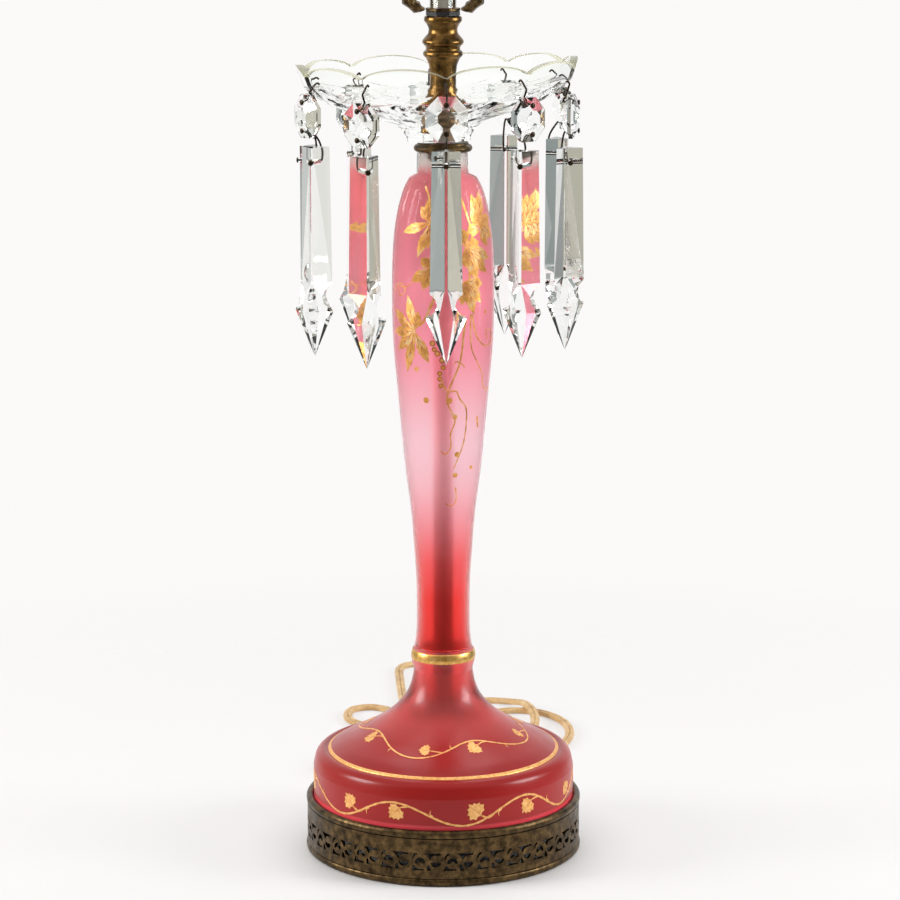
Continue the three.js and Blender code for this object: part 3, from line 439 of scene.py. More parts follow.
band_gilt = aged_metal(
    "band_gilding", [(0.52, 0.29, 0.07), (0.80, 0.46, 0.13), (0.98, 0.64, 0.27)], (0.24, 0.36), 500.0, FINE_GRAIN
)

black = principled("black_washer", (0.012, 0.012, 0.013), 0.45)
rough_from(black, noise(black, 500.0), 0.35, 0.6)
bump(black, noise(black, 2500.0), 0.00005, 0.5)

fibre = principled("socket_fibre", (0.05, 0.035, 0.025), 0.5)
paint(fibre, noise(fibre, 900.0, 5.0), [(0.3, (0.03, 0.02, 0.014)), (0.7, (0.08, 0.055, 0.038))])
bump(fibre, noise(fibre, 3000.0), 0.00006, 0.6)

lead_vinyl = principled(
    "lead_vinyl", (0.72, 0.47, 0.22), 0.42, Subsurface_Weight=0.08, Subsurface_Radius=(0.003, 0.0018, 0.0009)
)
paint(
    lead_vinyl,
    noise(lead_vinyl, 120.0, 5.0, 0.6),
    [(0.3, (0.52, 0.30, 0.12)), (0.55, (0.72, 0.47, 0.21)), (0.75, (0.83, 0.6, 0.32))],
)
bump(lead_vinyl, noise(lead_vinyl, 1500.0), 0.00008, 0.4)


def glass(name, tint, rough, ior, ripple=0.12, detail=2.0, clarity=1.0):
    """Glass with an uneven surface. Its roughness runs between two values, in patches."""
    made = principled(name, tint, rough[0], 0.0, Transmission_Weight=clarity, IOR=ior)
    rough_from(made, noise(made, 130.0, 4.0), *rough)
    bump(made, noise(made, 90.0, detail), 0.0001, ripple)
    return made


crystal = glass("lead_crystal", (0.985, 0.985, 0.975), (0.0, 0.05), 1.54, 0.3, 8.0)
dish_crystal = glass("dish_crystal", (0.985, 0.99, 0.975), (0.0, 0.03), 1.13, 0.2)
# The rim band is partly opaque and pale yellow-green: painted light that lightens the rim and its corners.
rim_crystal = glass("dish_rim", (0.80, 0.79, 0.58), (0.1, 0.2), 1.15, clarity=0.45)
clear = glass("clear_casing", (0.995, 0.985, 0.98), (0.05, 0.1), 1.18)


def height_of(made, low, high, wobble=0.0):
    """0 at a low height and 1 at a high one, both in millimetres, with an uneven edge."""
    xyz = node(made, "ShaderNodeSeparateXYZ")
    link(made, place_of(made), xyz.inputs["Vector"])
    source = xyz.outputs["Z"]
    if wobble:
        uneven = span(made, noise(made, 25.0, 2.0), 0, 1, -wobble * MM, wobble * MM)
        source = maths(made, "ADD", source, uneven)
    return span(made, source, low * MM, high * MM, 0, 1)


# The rod's colour by height is painted light: dark red low down is painted shade inside the ruby glass, and pink
# higher up is a painted glow from the rose glass round it.
rod_metal = principled("rose_lit_rod", (0.76, 0.72, 0.70), 0.4, 0.3)
worn(rod_metal, (0.4, 0.55))
paint(
    rod_metal,
    height_of(rod_metal, 100, 240, 3.0),
    [(0.2, (0.32, 0.24, 0.24)), (0.4, (0.52, 0.36, 0.37)), (0.75, (0.92, 0.58, 0.61)), (1.0, (0.95, 0.62, 0.64))],
)

rose = principled("ruby_to_rose", (0.95, 0.4, 0.45), 0.55, 0.0, Transmission_Weight=0.92, IOR=1.18)
paint(
    rose,
    height_of(rose, 104, 353, 2.0),
    [
        (0.0, (0.92, 0.045, 0.038)), (0.10, (0.99, 0.055, 0.050)), (0.18, (1.0, 0.14, 0.15)),
        (0.26, (1.0, 0.38, 0.43)), (0.34, (1.0, 0.59, 0.65)), (0.42, (1.0, 0.65, 0.72)), (0.50, (1.0, 0.53, 0.60)),
        (0.60, (1.0, 0.35, 0.44)), (0.80, (1.0, 0.30, 0.38)), (0.958, (1.0, 0.27, 0.31)),
        (0.978, (0.94, 0.88, 0.84)),
    ],
)
bump(rose, noise(rose, 60.0, 2.0), 0.0002, 0.15)

# The ruby's colour by height is its own colour with painted light in it: a painted highlight as a bright line at the
# bottom edge of the wall, and painted light that makes the dome lighter than the wall and shoulder and the neck
# lighter still.
ruby = principled("ruby", (0.5, 0.03, 0.03), 0.36, 0.0, Coat_Weight=0.4, Coat_Roughness=0.22, IOR=1.25)
paint(
    ruby,
    height_of(ruby, 26, 104, 1.0),
    [
        (0.0, (1.0, 0.085, 0.11)), (0.038, (1.0, 0.085, 0.11)), (0.055, (0.40, 0.012, 0.011)),
        (0.30, (0.37, 0.009, 0.008)), (0.36, (0.36, 0.009, 0.008)), (0.46, (0.58, 0.026, 0.023)),
        (0.56, (0.92, 0.13, 0.125)), (0.68, (1.0, 0.21, 0.21)), (1.0, (1.0, 0.27, 0.27)),
    ],
)
link(ruby, span(ruby, height_of(ruby, 55, 75), 0, 1, 0.05, 0.88), shader_of(ruby).inputs["Transmission Weight"])
rough_from(ruby, noise(ruby, 90.0, 3.0), 0.30, 0.42)
bump(ruby, noise(ruby, 60.0, 2.0), 0.0002, 0.15)


# Lead, on the route of the CAD solids

CORD_Z = 12.9
FLOOR_Z = 2.7
OVER_Z = 8.4
ROUTE = [
    (0, 66.3, CORD_Z), (0, 68.9, CORD_Z), (0, 71.9, CORD_Z), (0.3, 77.9, 12.8), (2, 84.9, 10.5), (9, 97, 5.4),
    (20, 110, 3.2), (34, 124, FLOOR_Z), (50, 142, FLOOR_Z), (64, 164, FLOOR_Z), (71, 190, FLOOR_Z),
    (68, 216, FLOOR_Z), (56, 234, FLOOR_Z), (40, 239, FLOOR_Z), (25, 232, FLOOR_Z), (19, 219, FLOOR_Z),
    (18, 205, FLOOR_Z), (21.5, 192.5, FLOOR_Z), (32, 185.5, FLOOR_Z), (43.5, 188, 2.9), (50, 198, 4.3),
    (52, 212, 6.2), (51, 226, 8.0), (48.2, 238, OVER_Z), (44.8, 247.5, 6.6), (38.5, 255.5, 3.8),
    (30, 260, FLOOR_Z), (19, 261, FLOOR_Z), (8, 263, FLOOR_Z), (-0.5, 270, FLOOR_Z), (-3.5, 282, FLOOR_Z),
    (-3.5, 306, FLOOR_Z), (-3.5, 330, FLOOR_Z), (-6.9, 338.5, FLOOR_Z), (-15.3, 342.2, FLOOR_Z),
    (-23.7, 338.5, FLOOR_Z), (-27, 330, FLOOR_Z), (-26.5, 305, FLOOR_Z), (-25, 276, FLOOR_Z), (-23, 248, FLOOR_Z),
    (-22, 230, FLOOR_Z), (-25.5, 216.5, FLOOR_Z), (-35, 208, FLOOR_Z), (-46, 209, FLOOR_Z), (-53.5, 218, FLOOR_Z),
    (-55.5, 232, FLOOR_Z), (-52.4, 241.5, FLOOR_Z), (-43, 246, FLOOR_Z), (-33.8, 241.5, FLOOR_Z), (-30.5, 232, 4.4),
    (-30, 220, 7.4), (-31, 209, OVER_Z), (-33.5, 195, 6.0), (-40, 177, 3.3), (-50.5, 160, FLOOR_Z),
    (-57.5, 146, FLOOR_Z), (-59.8, 136, FLOOR_Z), (-60, 128.9, FLOOR_Z),
]
COIL_START = (-60, 128)
COIL_PITCH_IN = 6.0
COIL_PITCH_OUT = 8.2
COIL_LAYER = 6.0
COIL_TURNS = 2.5
COIL_CLIMB = 0.5
COIL_CLIMB_IN = 2
COIL_TAIL = 14
PLUG_Z = 6.6
LYING_Z = 1.75


def coil_points(outer):
    """Turns inward on the floor, half a turn that climbs, turns outward over them, and a tail to the plug."""
    out = []
    total = 2 * COIL_TURNS + COIL_CLIMB
    inner = outer - COIL_PITCH_IN * COIL_TURNS
    steps = round(total * 20)
    for i in range(1, steps + 1):
        turn = total * i / steps
        climb = min(1, max(0, (turn - COIL_TURNS) / COIL_CLIMB))
        more = max(0, turn - COIL_TURNS - COIL_CLIMB)
        r = outer - COIL_PITCH_IN * turn
        if turn >= COIL_TURNS:
            r = inner - COIL_CLIMB_IN * climb + COIL_PITCH_OUT * more
        a = math.pi + 2 * math.pi * turn
        z = FLOOR_Z + COIL_LAYER * climb * climb * (3 - 2 * climb)
        out.append((COIL_START[0] + outer + r * math.cos(a), COIL_START[1] + r * math.sin(a), z))
    x, y, z = out[-1]
    for share in (0.4, 0.7, 1):
        out.append((x + 1.5 * share, y + COIL_TAIL * share, z + (PLUG_Z - z) * share))
    return out


def length_of(points):
    return sum((b - a).length for a, b in zip(points, points[1:]))


def lie_down(p):
    """A flat lead lies lower than a round one of its width: its route comes down once it has left the base."""
    low = LYING_Z + (p.z - FLOOR_Z) * 0.6
    share = min(1, max(0, (p.y - 72) / 30))
    return Vector((p.x, p.y, p.z + (low - p.z) * share))


def lead_line(outer):
    return [lie_down(p) for p in smooth_line(ROUTE + coil_points(outer), 10)]


outer_r = 26.0
while length_of(lead_line(outer_r)) < LEAD_LENGTH / MM:
    outer_r += 0.05
lead = spaced(lead_line(outer_r), 1.5)


def lead_section():
    """A flat two-wire lead across: two round lobes with a groove between them."""
    half, r = (LEAD_W - LEAD_T) / 2, LEAD_T / 2
    out = []
    for side in (1, -1):
        for k in range(9):
            a = math.radians(-142 + 284 * k / 8) + (0 if side > 0 else math.pi)
            out.append((side * half + r * math.cos(a), r * math.sin(a)))
    return out


def build_lead():
    section = lead_section()
    verts = []
    for i, p in enumerate(lead):
        ahead = ahead_at(lead, i)
        side = ahead.cross(Vector((0, 0, 1))).normalized()
        up = side.cross(ahead)
        verts += [p + side * x + up * y for x, y in section]
    cord = piece("lead", verts, skin(len(lead), len(section), turned_over=True), lead_vinyl)
    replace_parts(cord, "cord_run", "cord_coil")
    return cord


cord = build_lead()


# Glass foot in ruby all through, and vase clear outside, coloured on the inside

SIDES = 128


def foot_outline():
    shoulder = [
        (FOOT_R, FOOT_Z + 0.5), (FOOT_R, 41.3), (65.45, 43.8), (64.8, 46.8), (64.1, 48.7), (63.0, 50.0), (61.7, 51.0),
        (60.2, 51.4), (59.0, 51.1), (58.2, 51.1), (57.4, 51.8),
    ]
    rise = [(0.88, 0.09), (0.73, 0.165), (0.57, 0.25), (0.4, 0.36), (0.24, 0.49), (0.1, 0.66), (0.03, 0.83), (0, 1)]
    rise = [(FOOT_STEM_R + DOME_WIDE * out, DOME_Z + DOME_H * up) for out, up in rise]
    dome = outline_spline([(57.4, 51.8), *rise], 48)[1:]
    collar = outline_spline(
        [(FOOT_STEM_R, 92.8), (15.1, 94.3), (15.7, 96.4), (16.0, 98.6), (16, 100.4), (15.3, 102.8), (14.1, 103.8)], 24
    )[1:]
    return outline_spline([(FOOT_R, FOOT_Z), *shoulder], 60) + dome + collar


def foot_inside():
    corners = [
        (9.6, 103.8), (10.7, 93.8), (11.5, 80.4), (15, 72.5), (23, 64.6), (32, 59.5), (41.4, 55.5), (50, 52.5),
        (56.4, 48.3), (60.4, 44.5), (FOOT_INNER_R, 40.0), (FOOT_INNER_R, 33),
        (FOOT_INNER_R, FOOT_Z),
    ]
    return outline_spline(corners, 60)


def vase_outline():
    swell = [
        (0.0, 0.1), (0.03, 0.02), (0.08, 0.0), (0.14, 0.02), (0.2, 0.1), (0.28, 0.23), (0.36, 0.45), (0.44, 0.62),
        (0.53, 0.79), (0.625, 0.96), (0.73, 1.0), (0.82, 0.94), (0.88, 0.78), (0.925, 0.53), (0.95, 0.27),
    ]
    swell = [(VASE_STEM_R + VASE_WIDE * out, VASE_Z + VASE_H * up) for up, out in swell]
    return outline_spline(swell, 90) + [(12.6, 342.5), (12.25, 344.9), (12.2, 348), (12.2, 352.6), (11.9, 352.9)]


def shell(name, outside, inside, outer_finish, inner_finish, *nodes):
    verts, faces = turned_mesh(outside + inside, SIDES)
    obj = piece(name, verts, faces, [outer_finish, inner_finish], sharp=60)
    first = (len(outside) - 1) * SIDES
    for polygon in obj.data.polygons:
        polygon.material_index = 1 if polygon.index >= first else 0
    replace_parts(obj, *nodes)


FOOT = foot_outline()
VASE = vase_outline()
shell("ruby_foot", FOOT, foot_inside(), ruby, ruby, "glass_foot")


def casing(z):
    """The thickness of the clear glass over the colour: more on the stem than on the belly."""
    share = min(1, max(0, (z - 125) / 90))
    return 2.0 - 1.5 * share * share * (3 - 2 * share)


shell("rose_vase", VASE, [(r - casing(z), z) for r, z in reversed(VASE[:-1])], clear, rose, "vase")


# Gilding. A place on a turned surface is (degrees round, height or radius)

def on_outline(outline, key, value):
    """Radius, height and outward normal of an outline where its radius (key 0) or height (key 1) has a value."""
    for (r0, z0), (r1, z1) in zip(outline, outline[1:]):
        a, b = (r0, r1) if key == 0 else (z0, z1)
        if min(a, b) - 1e-6 <= value <= max(a, b) + 1e-6 and abs(b - a) > 1e-6:
            t = (value - a) / (b - a)
            size = math.hypot(r1 - r0, z1 - z0)
            return r0 + (r1 - r0) * t, z0 + (z1 - z0) * t, ((z1 - z0) / size, -(r1 - r0) / size)
    raise ValueError(value)


WALL = [p for p in FOOT if p[1] < 50 and p[0] > 60]
DOME = [p for p in FOOT if p[1] > 51.9 and 15.0 < p[0] < 57.2]


class Gilding:
    """Flat shapes in (degrees round, height or radius), laid on a turned surface a hair's breadth proud of it."""

    def __init__(self, outline, key):
        self.outline = outline
        self.key = key
        self.verts = []
        self.faces = []
        self.slots = []

    def at(self, angle, value, lift):
        r, z, (out, up) = on_outline(self.outline, self.key, value)
        return around(r + out * lift, angle, z + up * lift)

    def scale_at(self, value):
        """Millimetres round the surface for one degree."""
        return on_outline(self.outline, self.key, value)[0] * math.pi / 180

    def shape(self, polygon, lift=0.12, slot=0, grid=1.6):
        """One closed polygon, cut into small triangles so that it follows the surface."""
        mid = sum(q[1] for q in polygon) / len(polygon)
        wide = self.scale_at(mid)
        flat = [Vector((a * wide, v)) for a, v in polygon]
        edges = [(i, (i + 1) % len(flat)) for i in range(len(flat))]
        inside = []
        low_x, high_x = min(q.x for q in flat), max(q.x for q in flat)
        low_y, high_y = min(q.y for q in flat), max(q.y for q in flat)
        rows = int((high_y - low_y) / grid)
        columns = int((high_x - low_x) / grid)
        for i in range(1, columns + 1):
            for k in range(1, rows + 1):
                q = Vector((low_x + i * grid, low_y + k * grid))
                if covers(flat, q):
                    inside.append(q)
        points, _, triangles, *_ = delaunay_2d_cdt(flat + inside, edges, [], 1, 1e-4)
        self.lay([(q.x / wide, q.y) for q in points], triangles, lift, slot)

    def lay(self, points, triangles, lift, slot):
        """A slab from lift above the surface to a little under it."""
        faces = slab(points, triangles, len(self.verts))
        for height in (lift, -0.05):
            self.verts += [self.at(a, v, height) for a, v in points]
        self.faces += faces
        self.slots += [slot] * len(faces)

    def stroke(self, line, wide_from, wide_to=None, lift=0.12, slot=0, step=0.8):
        """A brush stroke along a line of (degrees, value), its width running from one number to another."""
        wide_to = wide_from if wide_to is None else wide_to
        mid = sum(q[1] for q in line) / len(line)
        scale = self.scale_at(mid)
        flat = smooth_line([(a * scale, v, 0) for a, v in line], 8)
        flat = spaced(flat, step)
        points, triangles = [], []
        for i, p in enumerate(flat):
            ahead = ahead_at(flat, i)
            side = Vector((-ahead.y, ahead.x, 0))
            t = i / (len(flat) - 1)
            half = (wide_from + (wide_to - wide_from) * t) / 2 * (0.92 + 0.12 * math.sin(i * 0.9))
            half *= min(1, 0.35 + 1.6 * min(t, 1 - t) * len(flat) * step / 2)
            for s in (1, -1):
                q = p + side * (half * s)
                points.append((q.x / scale, q.y))
        for i in range(len(flat) - 1):
            a = 2 * i
            triangles += [(a, a + 1, a + 2), (a + 1, a + 3, a + 2)]
        self.lay(points, triangles, lift, slot)

    def dot(self, angle, value, r, lift=0.16, slot=0):
        scale = self.scale_at(value)
        turns = [k * math.pi / 6 for k in range(12)]
        self.shape([(angle + r * math.cos(a) / scale, value + r * math.sin(a)) for a in turns], lift, slot, 9)

    def leaf(self, base, tip):
        """A small leaf with a midrib, from its stem to its tip, both (degrees, value)."""
        middle = self.scale_at((base[1] + tip[1]) / 2)
        x, y = (tip[0] - base[0]) * middle, tip[1] - base[1]
        size, turn = math.hypot(x, y), math.atan2(-x, y)
        scale = self.scale_at(base[1])
        c, s = math.cos(turn), math.sin(turn)

        def put(x, y):
            return base[0] + (x * c - y * s) * size / scale, base[1] + (x * s + y * c) * size

        self.shape([put(x, y) for x, y in SMALL_LEAF])
        self.stroke([put(x, y) for x, y in MIDRIB], 0.035 * size, 0.012 * size, 0.18, 1)

    def lobe(self, base, tip, wide, lift):
        """One toothed lobe of a leaf from its base to its tip, both (degrees, value), with veins scratched in it."""
        scale = self.scale_at((base[1] + tip[1]) / 2)
        run = Vector(((tip[0] - base[0]) * scale, tip[1] - base[1]))
        side = Vector((-run.y, run.x)).normalized() * wide / 2

        def put(t, s):
            q = run * t + side * s
            return base[0] + q.x / scale, base[1] + q.y

        outline = [put(t, s) for t, s in LOBE] + [put(t + 0.03, -s) for t, s in reversed(LOBE[1:-1])]
        self.shape(outline, lift, 0, 1.2)
        for line in LOBE_VEINS:
            self.stroke([put(t, s) for t, s in line], 0.34, 0.16, lift + 0.05, 1)

    def finish(self, name, gold=gilt):
        obj = piece(name, self.verts, self.faces, [gold, gilt_vein], sharp=50)
        for polygon, index in zip(obj.data.polygons, self.slots):
            polygon.material_index = index
        return obj


def covers(polygon, q, margin=0.35):
    inside = False
    for a, b in zip(polygon, polygon[1:] + polygon[:1]):
        if (a.y > q.y) != (b.y > q.y) and q.x < a.x + (b.x - a.x) * (q.y - a.y) / (b.y - a.y):
            inside = not inside
        along = b - a
        t = max(0, min(1, (q - a).dot(along) / max(along.length_squared, 1e-9)))
        if (a + along * t - q).length < margin:
            return False
    return inside


SMALL_LEAF = [
    (0.0, 0.0), (0.16, 0.10), (0.34, 0.06), (0.42, 0.2), (0.58, 0.3), (0.46, 0.42), (0.5, 0.58), (0.34, 0.62),
    (0.3, 0.8), (0.18, 0.78), (0.06, 1.0), (-0.06, 0.82), (-0.2, 0.86), (-0.26, 0.7), (-0.44, 0.66), (-0.42, 0.5),
    (-0.58, 0.36), (-0.42, 0.24), (-0.36, 0.08), (-0.16, 0.12),
]
LOBE = [
    (0.0, 0.0), (0.04, 0.22), (0.16, 0.34), (0.25, 0.66), (0.31, 0.56), (0.42, 0.96), (0.48, 0.82), (0.58, 1.0),
    (0.65, 0.74), (0.75, 0.72), (0.84, 0.36), (1.0, 0.0),
]
LOBE_VEINS = [
    [(0.06, 0.0), (0.45, 0.04), (0.88, 0.0)],
    [(0.2, 0.02), (0.34, 0.3), (0.46, 0.62)],
    [(0.24, -0.02), (0.38, -0.3), (0.5, -0.62)],
    [(0.45, 0.03), (0.56, 0.25), (0.66, 0.5)],
    [(0.5, 0.0), (0.6, -0.25), (0.7, -0.48)],
]
MIDRIB = [(0, 0.02), (0.02, 0.4), (0, 0.98)]


# Painted vines on the foot. Their turning points are (degrees round, height) on the wall and (degrees round,
# radius) on the dome

WALL_TURNS = [
    (-82, 41), (-50, 29.6), (-22, 40.8), (9, 30), (38, 41.8), (62.5, 30.6), (88, 41.5), (119, 30), (151, 41),
    (183, 30.2), (215, 41.2), (246, 30), (278, 41),
]
DOME_TURNS = [
    (-112, 44.5), (-64, 35.8), (-18, 46), (23, 35.7), (67, 44.6), (110, 36), (156, 45.5), (204, 35.8), (248, 44.5),
]


def wave_value(turns, angle):
    for (a, v), (b, w) in zip(turns, turns[1:]):
        if a <= angle <= b:
            return v + (w - v) * (1 - math.cos(math.pi * (angle - a) / (b - a))) / 2
    return turns[0][1] if angle < turns[0][0] else turns[-1][1]


def wave_line(turns):
    out = []
    for (a, _), (b, _) in zip(turns, turns[1:]):
        out += [(a + (b - a) * k / 5, wave_value(turns, a + (b - a) * k / 5)) for k in range(5)]
    return out + [turns[-1]]


def wall_twig(i, value):
    """The way its curl goes, where its twig starts, bends and ends, and its leaf's tip: degrees past the line's
    turn, and heights."""
    if value < 36:
        return -1, 14, (11, 33.2), (7.6, 34.6), (1.6 + i % 3, 40.4)
    return 1, 12, (8, 39.2), (3.4, 38.6), (-1.4 - i % 2 * 1.5, 32.4)


def dome_twig(_, value):
    """The same on the dome, with radii."""
    if value > 40:
        return -1, 18, (14, value - 4.6), (9, value - 5.2), (0.5, value - 5.8)
    return 1, 12, (8, value + 1.6), (3.6, value + 2.6), (-5.2, value + 6.2)


def build_vine(name, outline, key, turns, twig_at, line_w, twig_w, shift, curl, curl_w):
    """A wave line round the glass, with a leaf on a twig at each turn and a curl between turns."""
    gold = Gilding(outline, key)
    gold.stroke(wave_line(turns), line_w)
    for i, ((angle, value), (after, _)) in enumerate(zip(turns, turns[1:])):
        way, start, *places = twig_at(i, value)
        bend, base, tip = ((angle + a, v) for a, v in places)
        gold.stroke([(angle + start, wave_value(turns, angle + start)), bend, base], twig_w, twig_w + 0.1)
        gold.leaf(base, tip)
        middle = (angle + after) / 2 + shift
        on_line = wave_value(turns, middle)
        gold.stroke([(middle + a, on_line + way * v) for a, v in curl], twig_w, curl_w)
    gold.finish(name)


build_vine(
    "gilt_vine_on_wall", WALL, 1, WALL_TURNS, wall_twig, 1.05, 0.8, 1.5, [(1, 0), (-0.6, 1.5), (-0.2, 3.4)], 0.3
)
build_vine("gilt_vine_on_dome", DOME, 0, DOME_TURNS, dome_twig, 0.75, 0.6, 3, [(1.5, 0), (-0.5, 1.3), (0, 2.6)], 0.25)


def build_bands():
    """The gilt ring on the foot's step and the band round its collar."""
    ring = [
        (58.2, 51.1), (58.15, 51.3), (57.7, 51.55), (57.3, 52.0), (56.9, 52.3), (56.7, 52.25), (57.3, 51.7),
        (57.7, 51.2),
    ]
    turned("gilt_ring_on_foot", ring, SIDES, gilt, 70)
    low, high = 97.8, 103.0
    outside = [p for p in FOOT if low <= p[1] <= high and p[0] < 17]
    band = [(r + 0.14, z) for r, z in outside] + [(r - 0.06, z) for r, z in reversed(outside)]
    turned("gilt_band_on_collar", band, SIDES, band_gilt, 70)


build_bands()


# Grapevine on the front of the vase. Its places are (degrees round, height)

VASE_LEAVES = [
    ((-15, 321), 5.2, [(-30, 328.5), (-21, 332), (-54, 315), (-30, 303.5), (-18, 308)]),
    ((-13, 299), 6.0, [(-26, 303.5), (-37.5, 291.5), (-23, 288)]),
    ((-34, 267.5), 5.8, [(-43, 285), (-69, 277), (-70, 265.5), (-62, 256.5), (-47, 246.5), (-16, 252), (-29, 277.5)]),
    ((50, 319.5), 6.4, [(60, 335), (42, 334), (36, 326), (29, 315.5), (60, 308), (76, 312), (74, 322)]),
    ((26.5, 309), 6.6, [(46, 311), (64, 302), (58, 295), (42, 292), (29, 298), (22, 318)]),
    ((27, 292.5), 6.2, [(50, 290), (47, 281), (37, 275.5), (21, 280.5), (17, 287)]),
]
VASE_STROKES = [
    ([(-28, 338), (-21, 334), (-16, 328), (-16, 321), (-19, 319)], 0.8, 0.6),
    ([(-6, 287), (-13, 281), (-20, 274), (-28, 270)], 1.0, 0.8),
    ([(-16, 321), (-13, 312), (-14, 303)], 0.7, 0.6),
    ([(-13, 304), (-8, 296), (-6, 287)], 0.8, 0.8),
    ([(-69, 285), (-63, 289), (-52, 290), (-47, 287), (-56, 284), (-58, 288), (-46, 289), (-36, 291)], 0.5, 0.3),
    ([(22, 336), (30, 326), (36, 314), (33, 304), (30, 291)], 0.9, 0.8),
    ([(36, 314), (48, 316), (56, 318)], 0.7, 0.6),
    ([(34, 276), (38, 268), (46, 262), (58, 259), (71, 261), (68, 266), (57, 267), (60, 262)], 0.6, 0.4),
    ([(32, 276), (32.5, 266), (35, 258), (43, 252), (54, 245), (58, 239), (70, 236), (78, 237)], 0.5, 0.35),
    ([(26, 274), (23.6, 266), (22, 258), (19.6, 252), (14.6, 246), (7, 238.8)], 0.7, 0.6),
    ([(19.6, 252), (24, 251), (26, 249)], 0.5, 0.3),
    ([(19.6, 252), (15, 253), (13, 251)], 0.5, 0.3),
    ([(-3, 246), (0, 241), (5.6, 238), (16, 238), (21, 234), (30, 229.6), (32, 221), (29, 211), (21, 203),
      (15, 198)], 0.6, 0.4),
    ([(7, 238.8), (5, 233), (10, 228), (15.7, 223), (10, 216), (10.3, 209), (2.3, 206), (-3.5, 208)], 0.6, 0.4),
    ([(20, 189), (20.7, 181), (11, 179.4), (3, 181)], 0.45, 0.3),
    ([(50, 224), (52, 221), (54, 218)], 0.9, 0.8),
]
VASE_DOTS = [
    (-21.5, 233.3, 1.5), (8, 233.2, 1.5), (15.5, 225, 1.3), (20.3, 205.7, 1.4), (18, 195.2, 1.3), (45.7, 198.2, 1.0),
    (-32.7, 248.6, 1.2), (55, 276, 0.9),
]
VASE_BERRIES = [
    (-12, 262, 1.5), (-8, 265, 1.4), (-6.4, 257, 1.5), (-1, 253.6, 1.5), (0.1, 250, 1.3), (-4, 247, 1.3),
    (-4, 244.3, 1.3), (-3, 240.8, 1.2), (-10, 259, 1.3),
]
BRUSH = 1.5


def build_vase_vine():
    gold = Gilding(VASE, 1)
    for base, wide, tips in VASE_LEAVES:
        for k, tip in enumerate(tips):
            gold.lobe(base, tip, wide, 0.1 + 0.025 * k)
    for line, wide_from, wide_to in VASE_STROKES:
        gold.stroke(line, wide_from * BRUSH, wide_to * BRUSH, 0.1)
    for a, z, r in VASE_DOTS:
        gold.dot(a, z, r)
    for a, z, r in VASE_BERRIES:
        gold.dot(a, z, r, 0.14, 1)
        gold.dot(a, z, r * 0.62, 0.2)
    gold.finish("gilt_grapevine_on_vase", leaf_gilt)


build_vase_vine()


# Turned brass

foot_ring = rounded(
    [
        (65.5, 0), (68.2, 0), (69.3, 0.8), (69.5, 1.9), (69.3, 3.0), (68.9, 3.7), (STRIP_INNER, 3.7),
        (STRIP_INNER, 6.0), (65.5, 6.0),
    ],
    0.4,
)
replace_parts(turned("foot_ring", foot_ring, 144, brass, 40), "base_foot_ring")
top_rim = rounded(
    [
        (58.5, 23.8), (64.9, 23.8), (64.9, 21.6), (STRIP_INNER, 21.6), (STRIP_INNER, 24.3), (68.9, 24.3),
        (69.3, 25.3), (69.3, 26.8), (68.5, 27.9), (67.2, 28.3), (66.0, 27.8), (66.0, 26.0), (58.5, 26.0),
    ],
    0.4,
)
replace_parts(turned("top_rim", top_rim, 144, brass, 40), "base_top_rim")


def arc_hole(x, y, outer, inner, lift, start, end, steps=7):
    """A crescent between two arcs, in the units of one repeat."""
    angles = [math.radians(start + (end - start) * i / steps) for i in range(steps + 1)]
    return [(x + outer * math.cos(a), y + outer * math.sin(a)) for a in angles] + [
        (x + inner * math.cos(a), y + lift + inner * math.sin(a)) for a in reversed(angles[1:-1])
    ]


def scroll_holes():
    """One repeat of the wave scroll, in a cell 16 wide and 12 high."""
    return [
        [(0.7, 5.9), (1.5, 6.3), (2.0, 7.6), (3.3, 8.4), (3.0, 9.1), (1.9, 9.0), (0.9, 7.6)],
        arc_hole(4.7, 4.4, 2.5, 1.15, -0.75, -14, 194),
        [(0.3, 0.3), (6.7, 0.3), (6.5, 1.1), (4.4, 1.15), (2.9, 1.6), (1.9, 2.9), (1.2, 2.9), (0.9, 1.4)],
        [(6.6, 9.1), (8.2, 7.9), (9.0, 6.9), (9.2, 6.0), (10.1, 6.0), (10.3, 7.0), (11.6, 7.9), (15.0, 8.2),
         (14.9, 9.1)],
        arc_hole(12.4, 4.6, 2.6, 1.15, 0.85, 350, 190),
        [(8.3, 0.3), (10.4, 0.3), (10.0, 1.4), (9.3, 3.0), (8.5, 3.2), (8.1, 2.0)],
    ]


